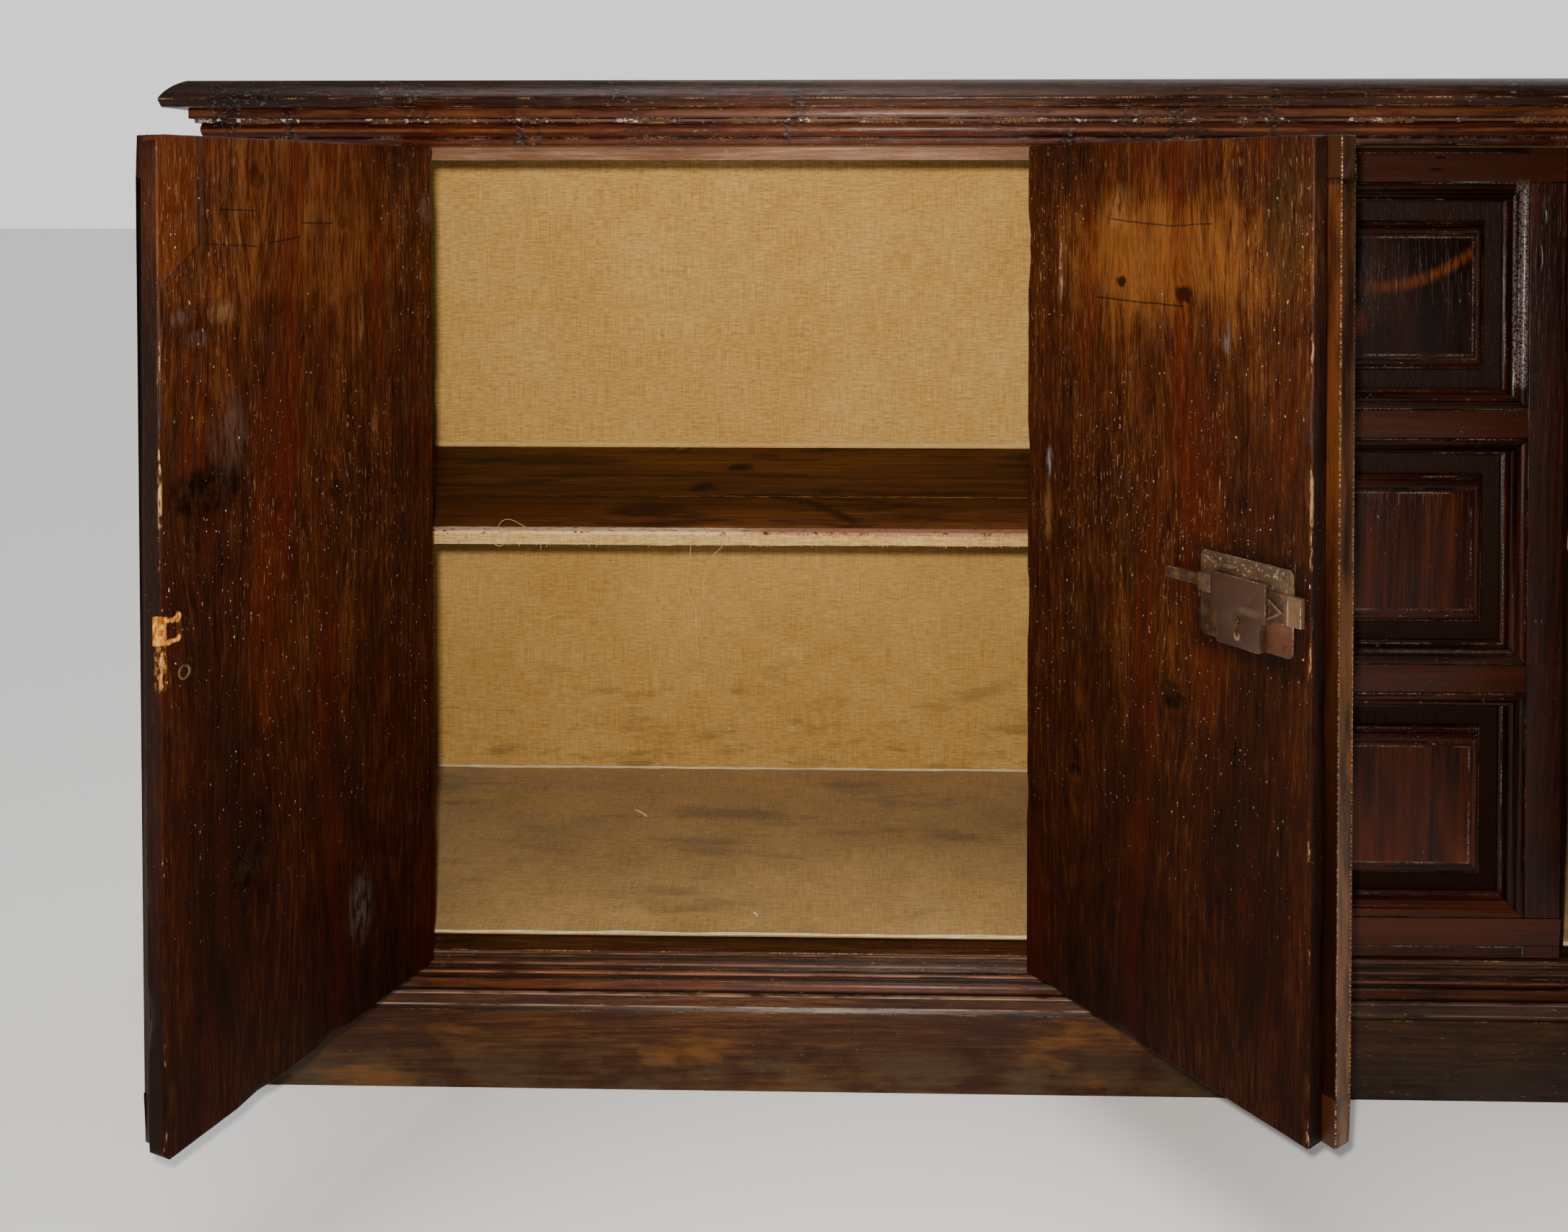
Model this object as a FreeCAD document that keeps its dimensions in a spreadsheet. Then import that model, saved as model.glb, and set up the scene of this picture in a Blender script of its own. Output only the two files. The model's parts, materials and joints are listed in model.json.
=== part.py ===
import FreeCAD, Part
import Sketcher

import os
import re

# A four-door walnut credenza. X runs along the front, Y from the front to the back and Z up.
# The origin is on the floor, under the middle of the carcass. All sizes are in millimetres.

# The sizes that can be set by themselves
SIZES = {
    # Widths across the front and the depth of the carcass
    "opening_width": 693.0,
    "centre_stile": 187.0,
    "end_stile": 171.0,
    "carcass_depth": 506.0,
    # Heights, from the floor up
    "plinth_height": 83.0,
    "base_height": 46.5,
    "ledge_fillet": 4.5,
    "door_gap_below": 3.5,
    "door_height": 844.5,
    "door_gap_above": 2.0,
    "cornice_height": 37.7,
    "slab_thickness": 28.3,
    "rail_strip": 14.0,
    # Boards of the carcass
    "side_thickness": 20.0,
    "partition_thickness": 20.0,
    "bottom_thickness": 18.0,
    "back_thickness": 18.0,
    "face_frame": 20.0,
    "bearer_thickness": 30.0,
    # How far the mouldings stand out from the carcass
    "plinth_reach": 23.0,
    "cornice_reach": 35.0,
    "slab_reach": 57.0,
    "slab_slope_width": 21.0,
    "slab_arris_height": 8.5,
    "slab_arris_width": 3.0,
    # The two layers of a door and the joint where a pair meets
    "board_layer": 19.0,
    "frame_layer": 19.0,
    "hinge_gap": 1.2,
    "meeting_gap": 6.0,
    "meeting_shift": 3.5,
    "tongue_step": 13.5,
    "lip_width": 13.0,
    "rail_top": 36.0,
    "rail_middle": 29.0,
    "rail_bottom": 41.5,
    "stile_width": 37.0,
    # The mouldings and raised panels in the cells
    "moulding_width": 21.0,
    "moulding_height": 20.5,
    "ground_width": 19.0,
    "border_width": 17.0,
    "panel_height": 17.0,
    "pilaster_margin": 34.0,
    "pilaster_ground": 10.0,
    # Hinges, and how far their line stands before the faces of the doors and stiles
    "hinge_stand": 10.0,
    "hinge_length": 70.0,
    "hinge_inset": 110.0,
    "leaf_width": 17.0,
    "leaf_thickness": 2.0,
    "knuckle_radius": 4.5,
    "pin_radius": 2.0,
    "pin_clearance": 0.05,
    "knuckle_clearance": 0.3,
    # Shelves
    "shelf_height": 584.0,
    "shelf_thickness": 15.0,
    "shelf_setback": 2.6,
    "shelf_droop": 19.0,
    "shelf_side_clearance": 0.5,
    "shelf_back_clearance": 1.0,
    "shelf_joint_setback": 152.0,
    "cleat_height": 24.0,
    "cleat_width": 18.0,
    # Cloth linings
    "lining_thickness": 2.0,
    "lining_top_gap": 6.0,
    "floor_cloth_overhang": 8.0,
    # Locks: how far each piece starts and ends from the door's free edge
    "plate_near": 16.2,
    "plate_far": 114.1,
    "case_near": 37.2,
    "case_far": 94.3,
    "guide_near": 95.8,
    "guide_far": 109.6,
    "bolt_near": 4.3,
    "bolt_shoulder": 36.3,
    "bolt_far": 148.5,
    "keyhole_inset": 67.2,
    # Locks: heights over and depths under the middle of the door's middle cell
    "plate_rise": 56.0,
    "plate_drop": 19.0,
    "case_rise": 41.5,
    "bolt_rise": 24.5,
    "keyhole_rise": 4.5,
    # Locks: the pieces' own sizes
    "plate_thickness": 2.0,
    "plate_corner": 6.0,
    "case_depth": 9.6,
    "case_notch": 6.0,
    "case_step": 26.0,
    "guide_wall": 3.0,
    "bolt_height": 10.0,
    "bolt_head_drop": 13.5,
    "bolt_head_rise": 1.5,
    "bolt_thickness": 6.0,
    "bolt_clearance": 0.4,
    "keyhole_radius": 2.5,
    "keyhole_slot_width": 3.0,
    "keyhole_slot_drop": 14.0,
    "spring_width": 16.0,
    "spring_drop": 17.0,
    "spring_strip": 1.5,
    "spring_inset": 6.5,
    "spring_thickness": 2.4,
    "nail_radius": 3.0,
    "nail_inset": 7.0,
    "nail_height": 1.2,
    # How far a cut runs past what it cuts
    "overrun": 5.0,
}

# How far each door stands open, in degrees
ANGLES = {
    "door_a_angle": 112.0,
    "door_b_angle": 126.5,
    "door_c_angle": 0.0,
    "door_d_angle": 25.0,
}

# Counts
CELLS = 3
BACK_BOARDS = 7
NAIL_SHARES = (0.0, 1.0)

# Places worked out from the sizes, each from those above it
PLACES = {
    "half_width": "centre_stile / 2 + opening_width + end_stile",
    "side_inner": "half_width - side_thickness",
    "partition_half": "partition_thickness / 2",
    "inner_hinge": "centre_stile / 2",
    "outer_hinge": "inner_hinge + opening_width",
    "half_gap": "hinge_gap / 2",
    "hinge_a": "-outer_hinge",
    "hinge_b": "-inner_hinge",
    "hinge_c": "inner_hinge",
    "hinge_d": "outer_hinge",
    "stile_left_low": "-half_width",
    "stile_left_high": "hinge_a - half_gap",
    "stile_centre_low": "hinge_b + half_gap",
    "stile_centre_high": "hinge_c - half_gap",
    "stile_right_low": "hinge_d + half_gap",
    "stile_right_high": "half_width",
    "door_thickness": "board_layer + frame_layer",
    "front_y": "-carcass_depth / 2",
    "face_y": "front_y + door_thickness",
    "jamb_y": "face_y + face_frame",
    "back_y": "carcass_depth / 2",
    "back_front": "back_y - back_thickness",
    "ledge_z": "plinth_height + base_height + ledge_fillet",
    "floor_bottom": "ledge_z - bottom_thickness",
    "door_bottom": "ledge_z + door_gap_below",
    "door_top": "door_bottom + door_height",
    "cornice_z": "door_top + door_gap_above",
    "opening_top": "cornice_z - rail_strip",
    "slab_z": "cornice_z + cornice_height",
    "top_z": "slab_z + slab_thickness",
    "left_leaf_end": "opening_width / 2 + meeting_shift - meeting_gap / 2",
    "right_leaf_end": "opening_width / 2 - meeting_shift - meeting_gap / 2",
    "left_frame_end": "left_leaf_end - tongue_step",
    "right_frame_end": "right_leaf_end + lip_width",
    "cell_width": "left_frame_end - half_gap - 2 * stile_width",
    "frame_bottom": "door_bottom + rail_bottom",
    "frame_top": "door_top - rail_top",
    "cell_height": f"(frame_top - frame_bottom - rail_middle * ({CELLS} - 1)) / {CELLS}",
    "cell_pitch": "cell_height + rail_middle",
    "hinge_low": "door_bottom + hinge_inset - hinge_length / 2",
    "hinge_high": "door_top - hinge_inset - hinge_length / 2",
    "notch_radius": "knuckle_radius + knuckle_clearance",
    "shelf_back": "back_front - lining_thickness - shelf_back_clearance",
    "shelf_depth": "shelf_back - jamb_y - shelf_setback",
    "plate_face": "door_thickness + plate_thickness",
    "bolt_face": "plate_face + bolt_clearance",
    "plate_start": "right_leaf_end - plate_far",
    "plate_end": "right_leaf_end - plate_near",
    "case_start": "right_leaf_end - case_far",
    "case_end": "right_leaf_end - case_near",
    "guide_start": "right_leaf_end - guide_far",
    "guide_end": "right_leaf_end - guide_near",
    "bolt_start": "right_leaf_end - bolt_far",
    "bolt_neck": "right_leaf_end - bolt_shoulder",
    "bolt_end": "right_leaf_end - bolt_near",
    "keyhole_place": "right_leaf_end - keyhole_inset",
    "lock_z": "(frame_bottom + frame_top) / 2",
    "plate_bottom": "lock_z - plate_drop",
    "plate_top": "lock_z + plate_rise",
    "case_top": "lock_z + case_rise",
    "bolt_bottom": "lock_z + bolt_rise",
    "keyhole_height": "lock_z + keyhole_rise",
    "bolt_top": "bolt_bottom + bolt_height",
    "head_bottom": "bolt_bottom - bolt_head_drop",
    "head_top": "bolt_top + bolt_head_rise",
}

# Moulding outlines, as shares of how far each stands out and how high it is.
# A line gives its end, and an arc gives a point that it passes through and its end.
PLINTH_SHARES = ((0.0, 0.0), (1.0, 0.0), (1.0, 1.0), (0.0, 1.0))
BASE_SHARES = (
    (0.0, 0.0),
    (1.0, 0.0),
    (0.87, 0.08),
    (0.87, 0.34),
    (0.60, 0.37, 0.39, 0.53),
    (0.30, 0.58),
    (0.26, 0.61),
    (0.40, 0.68, 0.26, 0.75),
    (0.28, 0.77),
    (0.07, 0.98),
    (0.07, 1.0),
    (0.0, 1.0),
)
CORNICE_SHARES = (
    (0.0, 0.0),
    (0.55, 0.0),
    (0.63, 0.17),
    (0.56, 0.18),
    (0.56, 0.22),
    (0.69, 0.23),
    (0.76, 0.40, 0.72, 0.60),
    (0.87, 0.61),
    (0.87, 0.71),
    (1.0, 0.72),
    (1.0, 1.0),
    (0.0, 1.0),
)
CELL_SHARES = (
    (0.0, 0.0),
    (0.0, 0.83),
    (0.21, 1.0, 0.42, 0.83),
    (0.47, 0.76),
    (0.55, 0.78),
    (0.73, 0.66),
    (0.73, 0.46),
    (0.78, 0.24, 1.0, 0.12),
    (1.0, 0.0),
)
BORDER_SHARES = (
    (0.0, 0.0),
    (0.0, 0.24),
    (0.32, 0.42),
    (0.32, 0.56),
    (0.40, 0.82, 0.78, 0.88),
    (0.78, 1.0),
    (1.0, 1.0),
    (1.0, 0.0),
)
# How far up the swell of the top's nosing is at its middle
NOSING_SHARE = 0.62

doc = FreeCAD.newDocument("credenza")
nodes = []


# The sheet of sizes and the set of derived places
def make_sheet():
    sheet = doc.addObject("Spreadsheet::Sheet", "Sizes")
    for row, (name, number) in enumerate({**SIZES, **ANGLES}.items(), start=1):
        sheet.set(f"A{row}", name)
        sheet.set(f"B{row}", str(number))
        sheet.setAlias(f"B{row}", name)
    return sheet


def bound(text):
    """An expression whose plain words are named sizes and places."""

    def owner(match):
        word = match.group()
        if word in SIZES or word in ANGLES:
            return "Sizes." + word
        if word in PLACES:
            return "Places." + word
        return word

    return re.sub(r"[a-z][a-z_]*", owner, text)


def make_places():
    places = doc.addObject("App::VarSet", "Places")
    for name, text in PLACES.items():
        places.addProperty("App::PropertyFloat", name, "Derived")
        places.setExpression(name, bound(text))
    return places


sizes = make_sheet()
places = make_places()
doc.recompute()


def size(name):
    """The present value of a named size or place."""
    if name in SIZES:
        return float(sizes.get(name))
    return getattr(places, name)


# Helpers for pieces
def keep(piece, name):
    """Marks a piece as a sub-part of its own, under its own name."""
    piece.Label = name
    nodes.append(piece)
    return piece


def board(name, x, y, z):
    """A board between two planes each way, each plane given as an expression."""
    box = doc.addObject("Part::Box", name)
    for side, axis, (low, high) in (("Length", "x", x), ("Width", "y", y), ("Height", "z", z)):
        box.setExpression(side, bound(f"({high}) - ({low})"))
        box.setExpression("Placement.Base." + axis, bound(low))
    return box


def rod(name, radius, x, y, z, height):
    """An upright round rod that stands at a point."""
    cylinder = doc.addObject("Part::Cylinder", name)
    cylinder.setExpression("Radius", bound(radius))
    cylinder.setExpression("Height", bound(height))
    for axis, text in (("x", x), ("y", y), ("z", z)):
        cylinder.setExpression("Placement.Base." + axis, bound(text))
    return cylinder


def group(name, members):
    compound = doc.addObject("Part::Compound", name)
    compound.Links = members
    return compound


def cut(name, base, tool):
    piece = doc.addObject("Part::Cut", name)
    piece.Base = base
    piece.Tool = tool
    return piece


def fused(name, members):
    piece = doc.addObject("Part::MultiFuse", name)
    piece.Shapes = members
    return piece


def plane_of(body, role):
    return next(item for item in body.Origin.OriginFeatures if item.Role == role)


def outline_sketch(body, role, name, corners, lift):
    """A closed sketch of straight lines whose corners are bound to expressions."""
    sketch = body.newObject("Sketcher::SketchObject", name)
    sketch.AttachmentSupport = [(plane_of(body, role), "")]
    sketch.MapMode = "FlatFace"
    sketch.setExpression("AttachmentOffset.Base.z", bound(lift))
    points = []
    for index, corner in enumerate(corners):
        sketch.addProperty("App::PropertyFloat", f"across_{index}", "Corners")
        sketch.addProperty("App::PropertyFloat", f"up_{index}", "Corners")
        sketch.setExpression(f"across_{index}", bound(corner[0]))
        sketch.setExpression(f"up_{index}", bound(corner[1]))
    doc.recompute()
    for index in range(len(corners)):
        across = getattr(sketch, f"across_{index}")
        up = getattr(sketch, f"up_{index}")
        points.append(FreeCAD.Vector(across, up, 0))
    for start, end in zip(points, points[1:] + points[:1]):
        sketch.addGeometry(Part.LineSegment(start, end))
    count = len(points)
    for index in range(count):
        sketch.addConstraint(Sketcher.Constraint("Coincident", index, 2, (index + 1) % count, 1))
    for index, point in enumerate(points):
        for kind, value, prop in (("DistanceX", point.x, "across"), ("DistanceY", point.y, "up")):
            number = sketch.addConstraint(Sketcher.Constraint(kind, -1, 1, index, 1, value))
            sketch.setExpression(f"Constraints[{number}]", f"{prop}_{index} * 1 mm")
    return sketch


def prism(name, role, corners, lift, length):
    """A body padded from an outline on one of its origin planes."""
    body = doc.addObject("PartDesign::Body", name)
    sketch = outline_sketch(body, role, name + "_outline", corners, lift)
    pad = body.newObject("PartDesign::Pad", name + "_pad")
    pad.Profile = sketch
    pad.setExpression("Length", bound(length))
    return body


def rectangle(x, z):
    """The corners of an upright rectangle, from expressions for its sides."""
    return ((x[0], z[0]), (x[1], z[0]), (x[1], z[1]), (x[0], z[1]))


# The carcass
def make_sides():
    z = ("0", "slab_z")
    y = ("jamb_y", "back_y")
    keep(board("side_left_board", ("-half_width", "-side_inner"), y, z), "side_left")
    keep(board("side_right_board", ("side_inner", "half_width"), y, z), "side_right")
    x = ("-partition_half", "partition_half")
    wall = board("partition_board", x, ("jamb_y", "back_front"), ("ledge_z", "slab_z"))
    keep(wall, "centre_partition")


def make_floor():
    x = ("-half_width", "half_width")
    keep(board("sill", x, ("front_y", "jamb_y"), ("0", "ledge_z")), "base_rail")
    x = ("-side_inner", "side_inner")
    y = ("jamb_y", "back_front")
    keep(board("floor", x, y, ("floor_bottom", "ledge_z")), "bottom_board")
    x = ("-bearer_thickness / 2", "bearer_thickness / 2")
    keep(board("bearer", x, y, ("0", "floor_bottom")), "plinth_bearer")


def make_top_rail():
    """The rail over the doors, rebated so that their tops close against its lower strip."""
    corners = (
        ("front_y", "cornice_z"),
        ("face_y", "cornice_z"),
        ("face_y", "opening_top"),
        ("jamb_y", "opening_top"),
        ("jamb_y", "slab_z"),
        ("front_y", "slab_z"),
    )
    rail = prism("rail", "YZ_Plane", corners, "-half_width", "2 * half_width")
    keep(rail, "top_rail")


# The doors that hang on each stile
STILES = {"left": "a", "centre": "bc", "right": "d"}
# Which way each door reaches from its hinge line: 1 to the right and -1 to the left
DOORS = {"a": 1, "b": -1, "c": 1, "d": -1}
HINGE_HEIGHTS = ("hinge_low", "hinge_high")


def hinge_seats(name, hand, base, face):
    """The recesses for a door's hinges on one side of the hinge line, in a front face."""
    seats = []
    for level, bottom in enumerate(HINGE_HEIGHTS):
        low, high = side_of(("half_gap", "half_gap + leaf_thickness"), hand)
        x = (f"{base} + ({low})", f"{base} + ({high})")
        y = (face, f"{face} + leaf_width")
        z = (bottom, f"{bottom} + hinge_length")
        seats.append(board(f"{name}_leaf_seat_{level}", x, y, z))
        notch = rod(
            f"{name}_notch_{level}",
            "notch_radius",
            base,
            f"{face} - hinge_stand",
            f"{bottom} - knuckle_clearance",
            "hinge_length + 2 * knuckle_clearance",
        )
        seats.append(notch)
    return seats


def side_of(span, hand):
    """A span measured from a hinge line, turned to the side that the hand gives."""
    low, high = span
    if hand > 0:
        return (low, high)
    return (f"-({high})", f"-({low})")


def make_stiles():
    y = ("face_y", "jamb_y")
    for place in STILES:
        x = (f"stile_{place}_low", f"stile_{place}_high")
        keep(board(f"{place}_jamb", x, y, ("ledge_z", "opening_top")), f"stile_{place}")


def make_pilasters():
    """The stiles' front layer, flush with the doors, with a sunk cell beside each door's cell."""
    for place, doors in STILES.items():
        name = f"pilaster_{place}"
        x = (f"stile_{place}_low", f"stile_{place}_high")
        z = ("ledge_z", "cornice_z")
        body = prism(name + "_body", "XZ_Plane", rectangle(x, z), "-(face_y)", "door_thickness")
        inside = (f"{x[0]} + pilaster_margin", f"{x[1]} - pilaster_margin")
        z = ("frame_bottom", "frame_bottom + cell_height")
        sketch = outline_sketch(
            body, "XZ_Plane", name + "_cell", rectangle(inside, z), "-(front_y)"
        )
        pocket = body.newObject("PartDesign::Pocket", name + "_pocket")
        pocket.Profile = sketch
        pocket.setExpression("Length", bound("frame_layer"))
        doc.recompute()
        rows = body.newObject("PartDesign::LinearPattern", name + "_rows")
        rows.Originals = [pocket]
        rows.Direction = (sketch, ["V_Axis"])
        rows.setExpression("Length", bound(f"cell_pitch * ({CELLS} - 1)"))
        rows.Occurrences = CELLS
        body.Tip = rows
        seats = []
        for door in doors:
            seats += hinge_seats(f"{name}_{door}", -DOORS[door], f"hinge_{door}", "front_y")
        keep(cut(name + "_cut", body, group(name + "_seats", seats)), name)


def make_back():
    """Upright back boards, edge to edge between the sides."""
    boards = []
    for index in range(BACK_BOARDS):
        x = tuple(
            f"-side_inner + 2 * side_inner * {edge} / {BACK_BOARDS}" for edge in (index, index + 1)
        )
        y = ("back_front", "back_y")
        boards.append(board(f"back_board_{index}", x, y, ("0", "slab_z")))
    keep(group("back_panel", boards), "back_boards")


# Outlines and the solids that are run from them
def face_of(shares, place):
    """A face from an outline of lines and arcs, with each share turned into a point."""
    points = [place(*entry[-2:]) for entry in shares]
    edges = []
    for index, entry in enumerate(shares):
        start = points[index - 1]
        end = points[index]
        if len(entry) > 2:
            edges.append(Part.Arc(start, place(*entry[:2]), end).toShape())
        else:
            edges.append(Part.LineSegment(start, end).toShape())
    return Part.Face(Part.Wire(edges))


def plan_prism(corners, low, high):
    """An upright prism on a plan outline."""
    points = [FreeCAD.Vector(x, y, low) for x, y in corners]
    wire = Part.makePolygon(points + points[:1])
    return Part.Face(wire).extrude(FreeCAD.Vector(0, 0, high - low))


def make_run(name, shares, reach, low, high):
    """A moulding along the front and both ends, mitred at the front corners."""
    half = size("half_width")
    front = size("front_y")
    back = size("back_y")
    over = reach + size("overrun")

    def along_front(out, up):
        return FreeCAD.Vector(-half - over, front - out * reach, low + up * (high - low))

    def along_end(out, up):
        return FreeCAD.Vector(half + out * reach, front - over, low + up * (high - low))

    bar = face_of(shares, along_front).extrude(FreeCAD.Vector(2 * (half + over), 0, 0))
    plan = ((-half, front), (half, front), (half + over, front - over), (-half - over, front - over))
    front_piece = bar.common(plan_prism(plan, low, high))
    bar = face_of(shares, along_end).extrude(FreeCAD.Vector(0, back - front + over, 0))
    plan = ((half, front), (half, back), (half + over, back), (half + over, front - over))
    right_piece = bar.common(plan_prism(plan, low, high))
    left_piece = right_piece.mirror(FreeCAD.Vector(0, 0, 0), FreeCAD.Vector(1, 0, 0))
    pieces = {"front": front_piece, "left": left_piece, "right": right_piece}
    for place, shape in pieces.items():
        add_shape(f"{name}_{place}", shape)


def add_shape(name, shape):
    piece = doc.addObject("Part::Feature", name + "_shape")
    piece.Shape = shape
    return keep(piece, name)


def make_runs():
    plinth = size("plinth_height")
    make_run("plinth", PLINTH_SHARES, size("plinth_reach"), 0, plinth)
    top = plinth + size("base_height")
    make_run("base_moulding", BASE_SHARES, size("plinth_reach"), plinth, top)
    make_run("cornice", CORNICE_SHARES, size("cornice_reach"), size("cornice_z"), size("slab_z"))


def make_top():
    """The thick top, with a sloped and rounded nosing along the front and both ends."""
    half = size("half_width") + size("slab_reach")
    front = size("front_y") - size("slab_reach")
    back = size("back_y")
    low = size("slab_z")
    high = size("top_z")
    nose = low + size("slab_arris_height")
    lip = size("slab_arris_width")
    slope = size("slab_slope_width")

    def nosing(tip, inward, place):
        """The points of one nosing, from its underside to the flat of the top."""
        under = place(tip + inward * lip, low)
        point = place(tip, nose)
        shoulder = place(tip + inward * slope, high)
        swell = place(tip + inward * (slope - lip) / 2, nose + (high - nose) * NOSING_SHARE)
        return under, point, swell, shoulder

    def along_x(across, up):
        return FreeCAD.Vector(-half, across, up)

    def along_y(across, up):
        return FreeCAD.Vector(across, front, up)

    under, point, swell, shoulder = nosing(front, 1, along_x)
    edges = [
        Part.LineSegment(along_x(back, low), under),
        Part.LineSegment(under, point),
        Part.Arc(point, swell, shoulder),
        Part.LineSegment(shoulder, along_x(back, high)),
        Part.LineSegment(along_x(back, high), along_x(back, low)),
    ]
    wire = Part.Wire([edge.toShape() for edge in edges])
    length = Part.Face(wire).extrude(FreeCAD.Vector(2 * half, 0, 0))
    left = nosing(-half, 1, along_y)
    right = nosing(half, -1, along_y)
    edges = [
        Part.LineSegment(left[0], left[1]),
        Part.Arc(left[1], left[2], left[3]),
        Part.LineSegment(left[3], right[3]),
        Part.Arc(right[3], right[2], right[1]),
        Part.LineSegment(right[1], right[0]),
        Part.LineSegment(right[0], left[0]),
    ]
    wire = Part.Wire([edge.toShape() for edge in edges])
    depth = Part.Face(wire).extrude(FreeCAD.Vector(0, back - front, 0))
    add_shape("top_slab", length.common(depth))


def mitred_frame(width, height, shares, reach, rise):
    """Four mitred strips round the inside of a cell, standing out from the boards' face."""
    ground = size("frame_layer")
    over = size("overrun")
    half_x = width / 2
    half_z = height / 2

    def strip(length, breadth):
        def place(inward, out):
            return FreeCAD.Vector(-length / 2, ground - out * rise, inward * reach - breadth / 2)

        bar = face_of(shares, place).extrude(FreeCAD.Vector(length, 0, 0))
        corners = (
            (-length / 2, -breadth / 2),
            (length / 2, -breadth / 2),
            (length / 2 - reach, reach - breadth / 2),
            (reach - length / 2, reach - breadth / 2),
        )
        points = [FreeCAD.Vector(x, ground + over, z) for x, z in corners]
        wedge = Part.Face(Part.makePolygon(points + points[:1]))
        return bar.common(wedge.extrude(FreeCAD.Vector(0, -rise - 2 * over, 0)))

    centre = FreeCAD.Vector(0, 0, 0)
    low = strip(width, height)
    side = strip(height, width)
    side.rotate(centre, FreeCAD.Vector(0, 1, 0), 90)
    high = low.mirror(centre, FreeCAD.Vector(0, 0, 1))
    other = side.mirror(centre, FreeCAD.Vector(1, 0, 0))
    strips = [low, high, side, other]
    for piece in strips:
        piece.translate(FreeCAD.Vector(half_x, 0, half_z))
    return strips


def cell_pieces(width, height, ground_width):
    """The moulding strips of one cell, and the raised panel with a border inside them."""
    reach = size("moulding_width")
    border = size("border_width")
    rise = size("panel_height")
    strips = mitred_frame(width, height, CELL_SHARES, reach, size("moulding_height"))
    inset = reach + ground_width
    panel_width = width - 2 * inset
    panel_height = height - 2 * inset
    panel = mitred_frame(panel_width, panel_height, BORDER_SHARES, border, rise)
    field_width = panel_width - 2 * border
    field_height = panel_height - 2 * border
    corner = FreeCAD.Vector(border, size("frame_layer") - rise, border)
    panel.append(Part.makeBox(field_width, rise, field_height, corner))
    raised = panel[0].multiFuse(panel[1:]).removeSplitter()
    raised.translate(FreeCAD.Vector(inset, 0, inset))
    return strips, raised.Solids


def moved(shapes, x, y, z):
    return [shape.translated(FreeCAD.Vector(x, y, z)) for shape in shapes]


# The panels on the pilasters
def make_pilaster_panels():
    shapes = []
    for place in STILES:
        start = size(f"stile_{place}_low") + size("pilaster_margin")
        width = size(f"stile_{place}_high") - size("pilaster_margin") - start
        strips, panel = cell_pieces(width, size("cell_height"), size("pilaster_ground"))
        for row in range(CELLS):
            z = size("frame_bottom") + row * size("cell_pitch")
            shapes += moved(strips + panel, start, size("front_y"), z)
    add_shape("pilaster_panels", Part.makeCompound(shapes))


# Doors, each made with its face on the face of the stiles as if closed, and then swung open
def hang(piece, door):
    """Puts a piece of a closed door in its place, turned by the door's angle about its hinge line."""
    turn = f"door_{door}_angle * 1 deg"
    down = FreeCAD.Vector(0, 0, -DOORS[door])
    piece.Placement = FreeCAD.Placement(FreeCAD.Vector(), FreeCAD.Rotation(down, 0))
    out = f"{DOORS[door]} * hinge_stand * sin({turn})"
    piece.setExpression("Placement.Base.x", bound(f"hinge_{door} + {out}"))
    piece.setExpression("Placement.Base.y", bound(f"front_y - hinge_stand + hinge_stand * cos({turn})"))
    piece.setExpression("Placement.Rotation.Angle", bound(turn))
    return piece


def side_names(door):
    """The places where a door's boards and its frame end, by the side that it hangs on."""
    if DOORS[door] > 0:
        return "left_leaf_end", "left_frame_end"
    return "right_leaf_end", "right_frame_end"


def make_door_boards(door):
    leaf_end, _ = side_names(door)
    x = side_of(("half_gap", leaf_end), DOORS[door])
    z = ("door_bottom", "door_top")
    boards = board(f"{door}_inner_layer", x, ("frame_layer", "door_thickness"), z)
    if door in LOCKS:
        boards = cut(f"{door}_inner_cut", boards, keyhole(f"{door}_board_hole"))
        return keep(hang(boards, door), f"door_{door}_boards")
    return keep(hang(group(f"{door}_inner", [boards]), door), f"door_{door}_boards")


def make_door_frame(door):
    """Two stiles between a top and a bottom rail, with the rails between the cells."""
    hand = DOORS[door]
    _, frame_end = side_names(door)
    stile = f"({frame_end} - half_gap - cell_width) / 2"
    y = ("0", "frame_layer")
    outer = side_of(("half_gap", frame_end), hand)
    near = side_of(("half_gap", f"half_gap + {stile}"), hand)
    far = side_of((f"{frame_end} - {stile}", frame_end), hand)
    inner = side_of((f"half_gap + {stile}", f"{frame_end} - {stile}"), hand)
    upright = ("frame_bottom", "frame_top")
    members = [
        board(f"{door}_bottom_rail", outer, y, ("door_bottom", "frame_bottom")),
        board(f"{door}_top_rail", outer, y, ("frame_top", "door_top")),
        board(f"{door}_hinge_stile", near, y, upright),
        board(f"{door}_meeting_stile", far, y, upright),
    ]
    for row in range(1, CELLS):
        top = f"frame_bottom + {row} * cell_pitch"
        members.append(board(f"{door}_rail_{row}", inner, y, (f"{top} - rail_middle", top)))
    seats = group(f"{door}_frame_seats", hinge_seats(f"{door}_frame", hand, "0", "0"))
    frame = cut(f"{door}_frame_cut", group(f"{door}_frame_members", members), seats)
    keep(hang(frame, door), f"door_{door}_frame")


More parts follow.
